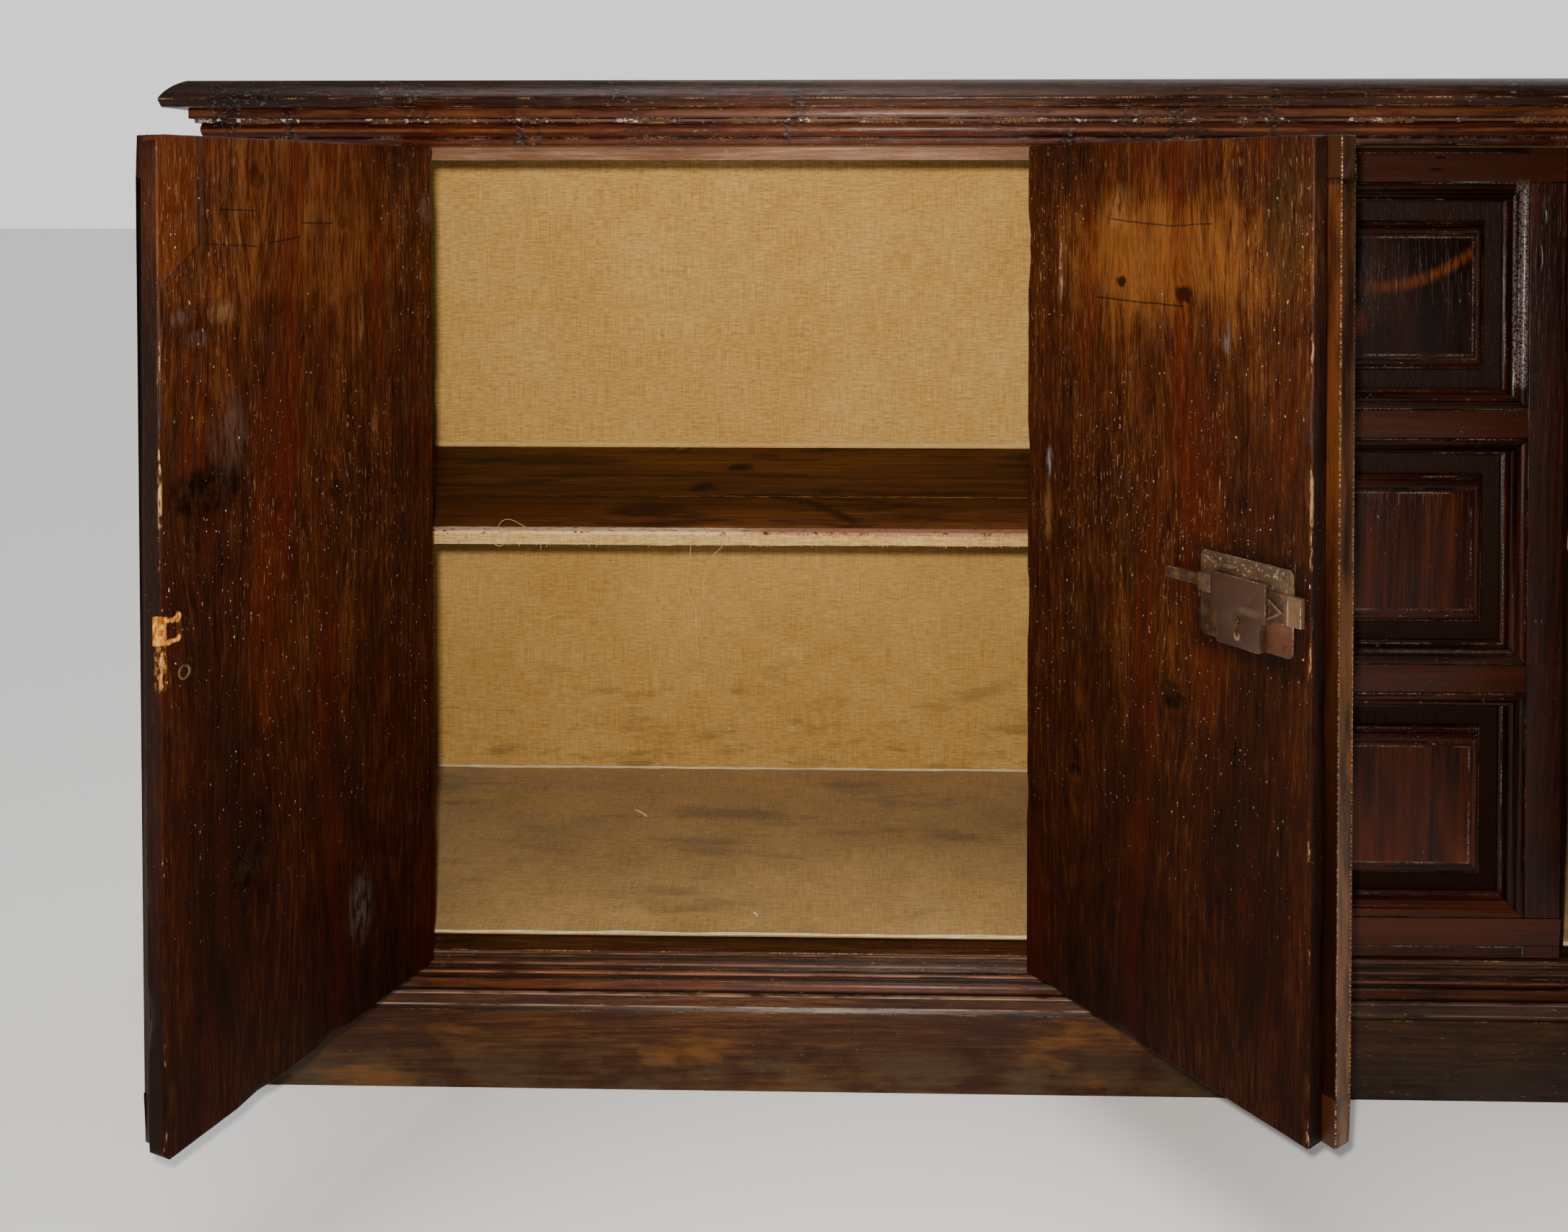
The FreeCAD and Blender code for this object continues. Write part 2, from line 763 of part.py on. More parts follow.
def make_door_cells(door, strips, panel):
    """The mouldings and the raised panels in a door's cells."""
    hand = DOORS[door]
    _, frame_end = side_names(door)
    width = size("cell_width")
    start = (size(frame_end) + size("half_gap") - width) / 2
    x = start if hand > 0 else -start - width
    mouldings = []
    panels = []
    for row in range(CELLS):
        z = size("frame_bottom") + row * size("cell_pitch")
        mouldings += moved(strips, x, 0, z)
        panels += moved(panel, x, 0, z)
    if door in LOCKS:
        hole = keyhole(f"{door}_panel_hole")
        doc.recompute()
        panels = [shape.cut(hole.Shape) for shape in panels]
    hang(add_shape(f"door_{door}_mouldings", Part.makeCompound(mouldings)), door)
    hang(add_shape(f"door_{door}_panels", Part.makeCompound(panels)), door)


# Hinges: two to a door, with a fixed leaf, a swinging leaf and a pin
KNUCKLES = 3


def leaf(name, hand, level, bottom, turning):
    """A leaf let into the edge of the wood, with the knuckles that it carries."""
    x = side_of(("half_gap", "half_gap + leaf_thickness"), hand)
    z = (bottom, f"{bottom} + hinge_length")
    line = "-hinge_stand"
    plate = board(f"{name}_plate_{level}", x, (line, "leaf_width"), z)
    notch = rod(f"{name}_relief_{level}", "notch_radius", "0", line, bottom, "hinge_length")
    members = [cut(f"{name}_relieved_{level}", plate, notch)]
    for index in range(KNUCKLES):
        if (index % 2 == 1) != turning:
            continue
        low = f"{bottom} + hinge_length * {index} / {KNUCKLES}"
        high = f"{bottom} + hinge_length * {index + 1} / {KNUCKLES}"
        if turning:
            low = f"{low} + knuckle_clearance"
            high = f"{high} - knuckle_clearance"
        tail = f"{name}_{level}_{index}"
        members.append(board(f"tab_{tail}", x, (line, "notch_radius - hinge_stand"), (low, high)))
        height = f"({high}) - ({low})"
        members.append(rod(f"knuckle_{tail}", "knuckle_radius", "0", line, low, height))
    bore = "pin_radius + pin_clearance" if turning else "pin_radius"
    hole = rod(f"{name}_bore_{level}", bore, "0", line, bottom, "hinge_length")
    return cut(f"{name}_{level}", fused(f"{name}_solid_{level}", members), hole)


def make_door_hinges(door):
    """Returns the fixed leaves and the pins, which stay with the carcass."""
    hand = DOORS[door]
    turning = []
    fixed = []
    for level, bottom in enumerate(HINGE_HEIGHTS):
        turning.append(leaf(f"{door}_swinging", hand, level, bottom, True))
        fixed.append(leaf(f"{door}_fixed", -hand, level, bottom, False))
        pin = rod(f"{door}_pin_{level}", "pin_radius", "0", "-hinge_stand", bottom, "hinge_length")
        PINS.append(stand(group(f"{door}_pin_place_{level}", [pin]), door))
    swinging = group(f"{door}_swinging_leaves", turning)
    keep(hang(swinging, door), f"door_{door}_hinge_leaves")
    return stand(group(f"{door}_fixed_leaves", fixed), door)


def stand(piece, door):
    """Puts a fixed piece of a hinge, made about the face over the hinge line, in its place."""
    piece.setExpression("Placement.Base.x", bound(f"hinge_{door}"))
    piece.setExpression("Placement.Base.y", bound("front_y"))
    return piece


# Locks, on the inner faces of the doors that close last
LOCKS = {"b": "left", "d": "right"}


def keyhole(name):
    """A round hole with a slot below it, through the whole thickness of a right-hand door."""
    x = side_of(("keyhole_place", "keyhole_place"), -1)[0]
    hole = doc.addObject("Part::Cylinder", name + "_round")
    hole.Placement = FreeCAD.Placement(
        FreeCAD.Vector(), FreeCAD.Rotation(FreeCAD.Vector(1, 0, 0), -90)
    )
    hole.setExpression("Radius", bound("keyhole_radius"))
    hole.setExpression("Height", bound("plate_face + case_depth + 2 * overrun"))
    hole.setExpression("Placement.Base.x", bound(x))
    hole.setExpression("Placement.Base.y", bound("-overrun"))
    hole.setExpression("Placement.Base.z", bound("keyhole_height"))
    half = "keyhole_slot_width / 2"
    slot = board(
        name + "_slot",
        (f"{x} - {half}", f"{x} + {half}"),
        ("-overrun", "plate_face + case_depth + overrun"),
        ("keyhole_height - keyhole_slot_drop", "keyhole_height"),
    )
    return fused(name, [hole, slot])


def flat_prism(name, corners, low, thickness):
    """A piece that lies flat on a right-hand door's inner face, with its corners from the hinge."""
    turned = [(f"-({x})", z) for x, z in corners]
    return prism(name, "XZ_Plane", turned, f"-({low} + {thickness})", thickness)


def make_lock(door):
    place = LOCKS[door]
    name = f"lock_{place}"
    x = side_of(("plate_start", "plate_end"), -1)
    z = ("plate_bottom", "plate_top")
    plate = board(name + "_sheet", x, ("door_thickness", "plate_face"), z)
    doc.recompute()
    rounded = doc.addObject("Part::Fillet", name + "_rounded")
    rounded.Base = plate
    corner = size("plate_corner")
    through = [
        index
        for index, edge in enumerate(plate.Shape.Edges, start=1)
        if edge.BoundBox.YLength > edge.BoundBox.XLength + edge.BoundBox.ZLength
    ]
    rounded.Edges = [(index, corner, corner) for index in through]
    sheet = cut(name + "_pierced", rounded, keyhole(name + "_plate_hole"))
    corners = (
        ("case_start + case_notch", "plate_bottom"),
        ("case_end - case_notch", "plate_bottom"),
        ("case_end - case_notch", "plate_bottom + case_step"),
        ("case_end", "plate_bottom + case_step"),
        ("case_end", "case_top"),
        ("case_start", "case_top"),
        ("case_start", "plate_bottom + case_step"),
        ("case_start + case_notch", "plate_bottom + case_step"),
    )
    case = flat_prism(name + "_case", corners, "plate_face", "case_depth")
    channel = board(
        name + "_channel",
        side_of(("plate_start", "case_end + overrun"), -1),
        ("plate_face", "bolt_face + bolt_thickness + bolt_clearance"),
        ("bolt_bottom - bolt_clearance", "bolt_top + bolt_clearance"),
    )
    tools = group(name + "_case_tools", [channel, keyhole(name + "_case_hole")])
    box = cut(name + "_case_cut", case, tools)
    guide = board(
        name + "_guide",
        side_of(("guide_start", "guide_end"), -1),
        ("plate_face", "plate_face + case_depth"),
        ("bolt_bottom - guide_wall", "bolt_top + guide_wall"),
    )
    bridge = cut(name + "_guide_cut", guide, channel)
    nails = []
    for across in NAIL_SHARES:
        for up in NAIL_SHARES:
            nails.append(nail(name, across, up))
    keep(hang(group(name + "_group", [sheet, box, bridge] + nails), door), f"{name}_plate")
    make_bolt(door, name)
    make_spring(door, name)


def nail(name, across, up):
    """A flat nail head near a corner of the plate."""
    head = doc.addObject("Part::Cylinder", name + "_nail")
    head.Placement = FreeCAD.Placement(
        FreeCAD.Vector(), FreeCAD.Rotation(FreeCAD.Vector(1, 0, 0), -90)
    )
    x = f"plate_start + nail_inset + {across} * (plate_end - plate_start - 2 * nail_inset)"
    z = f"plate_bottom + nail_inset + {up} * (plate_top - plate_bottom - 2 * nail_inset)"
    head.setExpression("Radius", bound("nail_radius"))
    head.setExpression("Height", bound("nail_height"))
    head.setExpression("Placement.Base.x", bound(f"-({x})"))
    head.setExpression("Placement.Base.y", bound("plate_face"))
    head.setExpression("Placement.Base.z", bound(z))
    return head


def make_bolt(door, name):
    """The sliding bolt: a tail that runs through the case and a wider head."""
    corners = (
        ("bolt_start", "bolt_bottom"),
        ("bolt_neck", "bolt_bottom"),
        ("bolt_neck", "head_bottom"),
        ("bolt_end", "head_bottom"),
        ("bolt_end", "head_top"),
        ("bolt_neck", "head_top"),
        ("bolt_neck", "bolt_top"),
        ("bolt_start", "bolt_top"),
    )
    bolt = flat_prism(name + "_slide", corners, "bolt_face", "bolt_thickness")
    keep(hang(bolt, door), f"{name}_bolt")


def make_spring(door, name):
    """A flat spring, bent to a V, from the end of the case over the face of the bolt's head."""
    top = "head_top - spring_inset"
    low = f"{top} - spring_drop"
    bend = "case_end + spring_width"
    middle = f"({top} + {low}) / 2"
    corners = (
        ("case_end", low),
        ("case_end + 2 * spring_strip", low),
        (bend, middle),
        ("case_end + 2 * spring_strip", top),
        ("case_end", top),
        (f"{bend} - 2 * spring_strip", middle),
    )
    face = "bolt_face + bolt_thickness + bolt_clearance"
    spring = flat_prism(name + "_leaf_spring", corners, face, "spring_thickness")
    keep(hang(spring, door), f"{name}_spring")


# Shelves, each made about its top back edge and then tilted until its front droops
def tilt(piece):
    piece.Placement = FreeCAD.Placement(
        FreeCAD.Vector(), FreeCAD.Rotation(FreeCAD.Vector(1, 0, 0), 0)
    )
    piece.setExpression("Placement.Base.y", bound("shelf_back"))
    piece.setExpression("Placement.Base.z", bound("shelf_height"))
    piece.setExpression("Placement.Rotation.Angle", bound("asin(shelf_droop / shelf_depth)"))
    return piece


COMPARTMENTS = {"left": -1, "right": 1}


def make_shelves():
    """Two loose boards to a shelf, on cleats, with a strip of cloth along the front edge."""
    cleats = []
    edgings = []
    for place, hand in COMPARTMENTS.items():
        x = side_of(
            ("partition_half + shelf_side_clearance", "side_inner - shelf_side_clearance"), hand
        )
        z = ("-shelf_thickness", "0")
        joint = "-shelf_depth + shelf_joint_setback"
        front = board(f"{place}_shelf_front", x, ("-shelf_depth", joint), z)
        back = board(f"{place}_shelf_back", x, (joint, "0"), z)
        keep(tilt(group(f"{place}_shelf", [front, back])), f"shelf_{place}")
        strip = ("-shelf_depth - lining_thickness", "-shelf_depth")
        edgings.append(board(f"{place}_edging", x, strip, z))
        z = ("-shelf_thickness - cleat_height", "-shelf_thickness")
        y = ("-shelf_depth + cleat_width", "-shelf_back_clearance")
        for wall, span in (
            ("partition", ("partition_half", "partition_half + cleat_width")),
            ("side", ("side_inner - cleat_width", "side_inner")),
        ):
            cleats.append(board(f"{place}_{wall}_cleat", side_of(span, hand), y, z))
    keep(tilt(group("cleats", cleats)), "shelf_cleats")
    keep(tilt(group("edgings", edgings)), "shelf_edgings")


def make_linings():
    """Cloth against the back and over the floor of each half, reaching out over the sill."""
    backs = []
    floors = []
    for place, hand in COMPARTMENTS.items():
        x = side_of(("partition_half", "side_inner"), hand)
        y = ("back_front - lining_thickness", "back_front")
        z = ("ledge_z + lining_thickness", "slab_z - lining_top_gap")
        backs.append(board(f"{place}_back_cloth", x, y, z))
        z = ("ledge_z", "ledge_z + lining_thickness")
        inside = board(f"{place}_floor_cloth", x, ("jamb_y", "back_front"), z)
        mouth = side_of(("inner_hinge + half_gap", "outer_hinge - half_gap"), hand)
        y = ("face_y - floor_cloth_overhang", "jamb_y")
        tongue = board(f"{place}_mouth_cloth", mouth, y, z)
        floors.append(fused(f"{place}_floor", [inside, tongue]))
    keep(group("back_cloths", backs), "back_linings")
    keep(group("floor_cloths", floors), "floor_linings")


PINS = []


def make_doors():
    fixed = []
    strips, panel = cell_pieces(size("cell_width"), size("cell_height"), size("ground_width"))
    for door in DOORS:
        make_door_boards(door)
        make_door_frame(door)
        make_door_cells(door, strips, panel)
        fixed.append(make_door_hinges(door))
    keep(group("fixed_leaves", fixed), "hinge_fixed_leaves")
    keep(group("pins", PINS), "hinge_pins")
    for door in LOCKS:
        make_lock(door)


def check_and_write():
    """Stops at any failed object, then writes each sub-part to a file of its own."""
    doc.recompute()
    for item in doc.Objects:
        if "Invalid" in item.State or "Error" in item.State:
            raise RuntimeError(f"{item.Name} failed: {item.State}")
    for piece in nodes:
        if piece.Shape.isNull() or not piece.Shape.isValid():
            raise RuntimeError(f"{piece.Label} has no sound shape")
    os.makedirs("parts", exist_ok=True)
    for piece in nodes:
        piece.Shape.exportStep(f"parts/{piece.Label}.step")
        print(piece.Label, len(piece.Shape.Solids), "solids")


make_sides()
make_floor()
make_top_rail()
make_stiles()
make_pilasters()
make_back()
make_runs()
make_top()
make_pilaster_panels()
make_doors()
make_shelves()
make_linings()
check_and_write()
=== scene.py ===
import json
import math
import random

import bmesh
import bpy
from mathutils import Matrix, Vector, noise


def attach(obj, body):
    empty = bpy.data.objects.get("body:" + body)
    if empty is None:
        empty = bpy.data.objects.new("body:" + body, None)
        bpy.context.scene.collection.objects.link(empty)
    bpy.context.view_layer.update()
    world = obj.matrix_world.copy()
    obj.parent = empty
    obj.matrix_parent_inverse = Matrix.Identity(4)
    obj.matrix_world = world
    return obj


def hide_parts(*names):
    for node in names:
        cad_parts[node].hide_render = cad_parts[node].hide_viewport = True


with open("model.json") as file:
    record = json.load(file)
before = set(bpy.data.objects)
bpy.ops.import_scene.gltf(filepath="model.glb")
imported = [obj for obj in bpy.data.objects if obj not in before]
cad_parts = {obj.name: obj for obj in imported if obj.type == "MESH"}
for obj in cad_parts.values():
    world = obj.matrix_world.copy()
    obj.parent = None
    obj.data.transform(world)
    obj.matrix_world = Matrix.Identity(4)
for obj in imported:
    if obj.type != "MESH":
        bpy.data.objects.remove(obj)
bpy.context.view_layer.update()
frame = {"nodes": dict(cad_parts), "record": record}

# Places on the carcass and the doors, in metres, in the frame of the CAD
FRONT = -0.253
HINGE_STAND = 0.010
HINGE_LINE = FRONT - HINGE_STAND
HINGE_OUTER = 0.7865
HINGE_INNER = 0.0935
DOOR_INNER_FACE = 0.038
RAIL_MIDDLE = 0.029
# Each door: its hinge, the side that it opens to, and how far it stands open at rest
DOORS = {
    "a": (-HINGE_OUTER, 1, math.radians(112.0)),
    "b": (-HINGE_INNER, -1, math.radians(126.5)),
    "c": (HINGE_INNER, 1, 0.0),
    "d": (HINGE_OUTER, -1, math.radians(25.0)),
}


def shade(red, green, blue):
    """A colour given as it looks on a screen, from 0 to 255, with its brightness made linear."""
    return tuple((part / 255) ** 2.2 for part in (red, green, blue)) + (1.0,)


# Camera and light
PHOTO_WIDTH = 2174
FOCAL_PIXELS = 2006.5
CAMERA_PLACE = (-0.3066, -1.7627, 0.9307)
CAMERA_YAW = 1.293
CAMERA_PITCH = -1.07
SHIFT_ACROSS = -0.0246
SHIFT_UP = -0.25
AMBIENT = 0.16
BACKDROP = 1.5
KEY_PLACE = (-0.334, -1.763, 0.978)
KEY_TARGET = (-0.334, 0, 0.62)


def make_camera():
    """The camera that the photograph was taken with, as far as it could be fitted."""
    data = bpy.data.cameras.new("photo_view")
    data.sensor_width = 36
    data.lens = FOCAL_PIXELS * data.sensor_width / PHOTO_WIDTH
    data.shift_x = SHIFT_ACROSS
    data.shift_y = SHIFT_UP
    camera = bpy.data.objects.new("photo_view", data)
    camera.location = CAMERA_PLACE
    camera.rotation_euler = (math.radians(90 + CAMERA_PITCH), 0, math.radians(CAMERA_YAW))
    bpy.context.scene.collection.objects.link(camera)
    bpy.context.scene.camera = camera


def make_lamp(name, kind, place, target, energy, **settings):
    """A lamp that shines from its place at a target."""
    data = bpy.data.lights.new(name, kind)
    data.energy = energy
    for key, value in settings.items():
        setattr(data, key, value)
    lamp = bpy.data.objects.new(name, data)
    lamp.location = place
    direction = Vector(target) - Vector(place)
    lamp.rotation_euler = direction.to_track_quat("-Z", "Y").to_euler()
    bpy.context.scene.collection.objects.link(lamp)


def make_stage():
    """A bright backdrop, a pale floor and three lamps."""
    world = bpy.data.worlds.new("studio")
    world.use_nodes = True
    nodes = world.node_tree.nodes
    links = world.node_tree.links
    around = nodes["Background"]
    around.inputs["Color"].default_value = (1.0, 0.93, 0.84, 1.0)
    around.inputs["Strength"].default_value = AMBIENT
    behind = nodes.new("ShaderNodeBackground")
    behind.inputs["Strength"].default_value = BACKDROP
    seen = nodes.new("ShaderNodeLightPath")
    both = nodes.new("ShaderNodeMixShader")
    links.new(seen.outputs["Is Camera Ray"], both.inputs[0])
    links.new(around.outputs[0], both.inputs[1])
    links.new(behind.outputs[0], both.inputs[2])
    links.new(both.outputs[0], nodes["World Output"].inputs["Surface"])
    bpy.context.scene.world = world
    mesh = bpy.data.meshes.new("floor")
    reach = 40
    corners = [(-reach, -reach, 0), (reach, -reach, 0), (reach, reach, 0), (-reach, reach, 0)]
    mesh.from_pydata(corners, [], [(0, 1, 2, 3)])
    floor = bpy.data.objects.new("floor", mesh)
    bpy.context.scene.collection.objects.link(floor)
    paint = Paint("studio_floor")
    paint.set(paint.shader, Base_Color=(0.86, 0.86, 0.86, 1.0), Roughness=0.9)
    mesh.materials.append(paint.material)
    make_lamp("key", "AREA", KEY_PLACE, KEY_TARGET, 34, shape="DISK", size=0.035, color=(1.0, 0.93, 0.83))
    make_lamp("above", "SUN", (-0.6, -0.6, 4.0), (0, 0, 0.5), 2.0, angle=math.radians(40))
    make_lamp("behind", "SUN", (1.5, 3.5, 3.0), (0, 0, 0.5), 0.9, angle=math.radians(60))


# Materials
def by_nodes(operation, swapped=False):
    """A method that works out a sum with a Math node."""
    def work(self, *others):
        values = (*others, self) if swapped else (self, *others)
        return self.paint.math(operation, *values)
    return work


class Level:
    """A number that a material's nodes work out at each place. Sums with it make more nodes."""

    def __init__(self, paint, socket):
        self.paint = paint
        self.socket = socket

    __add__ = by_nodes("ADD")
    __radd__ = by_nodes("ADD", swapped=True)
    __sub__ = by_nodes("SUBTRACT")
    __rsub__ = by_nodes("SUBTRACT", swapped=True)
    __mul__ = by_nodes("MULTIPLY")
    __truediv__ = by_nodes("DIVIDE")
    __pow__ = by_nodes("POWER")
    __abs__ = by_nodes("ABSOLUTE")
    __lt__ = by_nodes("LESS_THAN")
    __gt__ = by_nodes("GREATER_THAN")


class Paint:
    """One material and the nodes that it is built up from."""

    def __init__(self, name):
        self.material = bpy.data.materials.new(name)
        self.material.use_nodes = True
        self.nodes = self.material.node_tree.nodes
        self.links = self.material.node_tree.links
        self.shader = next(node for node in self.nodes if node.type == "BSDF_PRINCIPLED")
        self.place = self.node("TexCoord").outputs["Object"]

    def put(self, socket, value):
        if isinstance(value, Level):
            value = value.socket
        if isinstance(value, bpy.types.NodeSocket):
            self.links.new(value, socket)
        else:
            socket.default_value = value

    def set(self, node, **inputs):
        for key, value in inputs.items():
            self.put(node.inputs[key.replace("_", " ")], value)

    def node(self, kind, settings=None, **inputs):
        node = self.nodes.new("ShaderNode" + kind)
        for key, value in (settings or {}).items():
            setattr(node, key, value)
        self.set(node, **inputs)
        return node

    def math(self, operation, *values):
        node = self.node("Math", {"operation": operation})
        for socket, value in zip(node.inputs, values):
            self.put(socket, value)
        return Level(self, node.outputs[0])

    def vector(self, operation, first, second):
        node = self.node("VectorMath", {"operation": operation})
        self.put(node.inputs[0], first)
        self.put(node.inputs[1], second)
        return node.outputs["Vector"]

    def split(self, vector):
        return [Level(self, socket) for socket in self.node("SeparateXYZ", Vector=vector).outputs]

    def join(self, x, y, z):
        return self.node("CombineXYZ", X=x, Y=y, Z=z).outputs[0]

    def mix(self, share, first, second, blend="MIX"):
        """The first colour where share is 0 and the second where it is 1."""
        node = self.node("Mix", {"data_type": "RGBA", "blend_type": blend})
        for index, value in ((0, share), (6, first), (7, second)):
            self.put(node.inputs[index], value)
        return node.outputs[2]

    def mix_places(self, share, first, second):
        node = self.node("Mix", {"data_type": "VECTOR"})
        for index, value in ((0, share), (4, first), (5, second)):
            self.put(node.inputs[index], value)
        return node.outputs[1]

    def noise(self, vector, detail=4.0, roughness=0.55):
        node = self.node("TexNoise", Vector=vector, Scale=1.0, Detail=detail, Roughness=roughness)
        return Level(self, node.outputs["Fac"])

    def cloud(self, place, scale, detail=4.0, roughness=0.55):
        """Noise with its own number of waves to a metre along each axis."""
        return self.noise(self.vector("MULTIPLY", place, scale), detail, roughness)

    def rise(self, value, low, high):
        """0 below low and 1 above high, and smooth between them; falling where low is the larger."""
        kind = {"interpolation_type": "SMOOTHSTEP"}
        node = self.node("MapRange", kind, Value=value, From_Min=low, From_Max=high)
        return Level(self, node.outputs[0])

    def between(self, value, low, high, soft):
        """1 from low to high, with soft ends."""
        return self.rise(value, low - soft, low + soft) * self.rise(value, high + soft, high - soft)

    def ramp(self, value, *stops):
        node = self.node("ValToRGB", Fac=value)
        elements = node.color_ramp.elements
        while len(elements) < len(stops):
            elements.new(0.5)
        for element, (place, colour) in zip(elements, stops):
            element.position = place
            element.color = colour
        return node.outputs["Color"]

    def spot(self, across, up, centre, size, soft=0.35):
        """1 in an oval round a point, and 0 outside it."""
        dx = (across - centre[0]) / size[0]
        dz = (up - centre[1]) / size[1]
        return self.rise(self.math("SQRT", dx * dx + dz * dz), 1 + soft, 1 - soft)

    def line(self, across, up, start, end, half, soft=0.6):
        """1 along a straight line between two places, and 0 away from it."""
        span_x = end[0] - start[0]
        span_z = end[1] - start[1]
        length = math.hypot(span_x, span_z)
        dx = across - start[0]
        dz = up - start[1]
        along = dx * (span_x / length) + dz * (span_z / length)
        beside = dx * (span_z / length) - dz * (span_x / length)
        far = self.most(abs(beside), abs(along - length / 2) - length / 2)
        return self.rise(far, half * (1 + soft), half * (1 - soft))

    def most(self, first, *others):
        for other in others:
            first = self.math("MAXIMUM", first, other)
        return first

    def door_place(self, door):
        """The place on a door as if it were closed: across from its hinge, in from its front, and up."""
        hinge, hand, angle = DOORS[door]
        turned = self.node("VectorRotate", {"rotation_type": "Z_AXIS"}, Vector=self.place,
                           Center=(hinge, HINGE_LINE, 0), Angle=hand * angle).outputs[0]
        moved = self.vector("SUBTRACT", turned, (hinge, FRONT, 0))
        return self.vector("MULTIPLY", moved, (hand, 1, 1))

    def swapped(self, vector):
        """The same place with across and up exchanged, and shifted, so that its grain differs."""
        x, y, z = self.split(vector)
        return self.vector("ADD", self.join(z, y, x), (3.1, 1.7, 5.3))


def wood(paint, along, tones, gloss=(0.36, 0.62), knots=(), broken=0.0, pores=0.5, fade=None, tint=None):
    """Streaky, porous wood. The third part of along runs with the grain. Broken: how short streaks are.

    Gives the colour, the roughness and the height of the relief."""
    x, y, z = paint.split(along)
    for (cx, cz), radius in knots:
        dx = x - cx
        dz = z - cz
        far = (dx / (radius * 2.2)) ** 2.0 + (dz / (radius * 6.0)) ** 2.0
        pull = paint.math("EXPONENT", far * -1.0)
        x -= dx * pull * 0.75
    bent = paint.join(x, y, z)
    wander = paint.cloud(bent, (5, 5, 1.3), 2.0)
    x += (wander - 0.5) * 0.05
    bent = paint.join(x, y, z)
    broad = paint.cloud(bent, (48, 48, 1.3), 5.0, 0.6)
    fine = paint.cloud(bent, (240, 240, 5.0 + 9.0 * broken), 4.0, 0.7)
    hair = paint.cloud(bent, (820, 820, 14.0 + 26.0 * broken), 2.0, 0.7)
    blotch = paint.cloud(along, (4.5, 4.5, 2.4), 4.0, 0.6)
    level = broad * (0.36 - 0.2 * broken) + fine * (0.44 - 0.1 * broken)
    level += hair * (0.2 + 0.16 * broken)
    if broken:
        mottle = paint.cloud(along, (70, 70, 32), 5.0, 0.7)
        level += mottle * (0.14 * broken)
        level = 0.5 + (level - 0.5) * (1.0 + 0.25 * broken)
    level += (blotch - 0.5) * 0.36
    if fade is not None:
        level += fade
    colour = paint.ramp(level, (0.32, tones[0]), (0.5, tones[1]), (0.68, tones[2]))
    pore = paint.rise(hair, 0.57, 0.66)
    colour = paint.mix(pore * pores, colour, (0.004, 0.002, 0.001, 1.0))
    if tint is not None:
        colour = tint(colour)
    height = fine * 0.5 - pore * 0.4 + broad * 0.5
    rough = gloss[0] + fine * (gloss[1] - gloss[0])
    return colour, rough, height


def finish_paint(paint, colour, rough, height, strength=0.4, deep=0.0012, level=0.35, coat=0.0):
    """Puts the colour, roughness and relief on the shader."""
    relief = paint.node("Bump", Strength=strength, Distance=deep, Height=height)
    paint.set(paint.shader, Base_Color=colour, Roughness=rough, Specular_IOR_Level=level, Coat_Weight=coat,
              Coat_Roughness=0.22, Normal=relief.outputs[0])
    return paint.material


# Tones of the wood, darkest first
BOARD_TONES = (shade(16, 8, 4), shade(58, 28, 12), shade(106, 64, 34))
GOLD_TONES = (shade(18, 9, 4), shade(58, 29, 12), shade(108, 66, 32))
OUTER_TONES = (shade(9, 5, 3), shade(33, 15, 7), shade(64, 29, 11))
SLAB_TONES = (shade(12, 6, 3), shade(36, 18, 9), shade(78, 46, 28))
CORNICE_TONES = (shade(14, 5, 2), shade(46, 18, 6), shade(84, 40, 15))
BASE_TONES = (shade(20, 11, 6), shade(60, 35, 19), shade(106, 70, 44))
PLINTH_TONES = (shade(20, 10, 4), shade(54, 30, 12), shade(92, 58, 26))
SHELF_TONES = (shade(34, 18, 10), shade(100, 60, 34), shade(158, 106, 62))
RAIL_TONES = (shade(60, 38, 24), shade(106, 76, 56), shade(150, 116, 92))
PINE_TONES = (shade(96, 66, 38), shade(140, 104, 64), shade(172, 134, 90))
WORN_WOOD = shade(190, 150, 104)
PALE_FLECK = shade(200, 194, 184)
TAN_FLECK = shade(170, 122, 74)
GREY_FILLER = shade(88, 78, 70)
SOOT = shade(16, 9, 6)


def along_axis(paint, axis):
    """The place with its third part running along an axis."""
    x, y, z = paint.split(paint.place)
    if axis == "x":
        return paint.join(z, y, x)
    if axis == "y":
        return paint.join(x, z, y)
    return paint.place


def edge_wear(paint, colour, rough, amount, tone=WORN_WOOD):
    """Paler, rougher wood along the softened edges, broken up as rubbing leaves it.

    Gives the colour, the roughness and how worn each place is."""
    edge = paint.node("Attribute", {"attribute_name": "edge"}).outputs["Fac"]
    patchy = paint.cloud(paint.place, (26, 26, 26), 3.0, 0.6)
    grit = paint.cloud(paint.place, (520, 520, 520), 2.0, 0.6)
    worn = paint.rise(patchy, 0.46, 0.66) * paint.rise(grit, 0.4, 0.62)
    worn = worn * edge * amount
    return paint.mix(worn, colour, tone), rough + worn * 0.2, worn


def flecks(paint, colour, place, amount, size, clear, tone=PALE_FLECK, zone=None):
    """Small pale scuffs, longer along the grain, in patches. Gives the colour and where they are."""
    dots = paint.cloud(place, size, 2.0, 0.55)
    patch = paint.cloud(place, (9, 9, 4), 3.0, 0.6)
    share = paint.rise(dots, clear, clear + 0.09) * paint.rise(patch, 0.42, 0.62)
    if zone is not None:
        share *= zone
    return paint.mix(share * amount, colour, tone), share


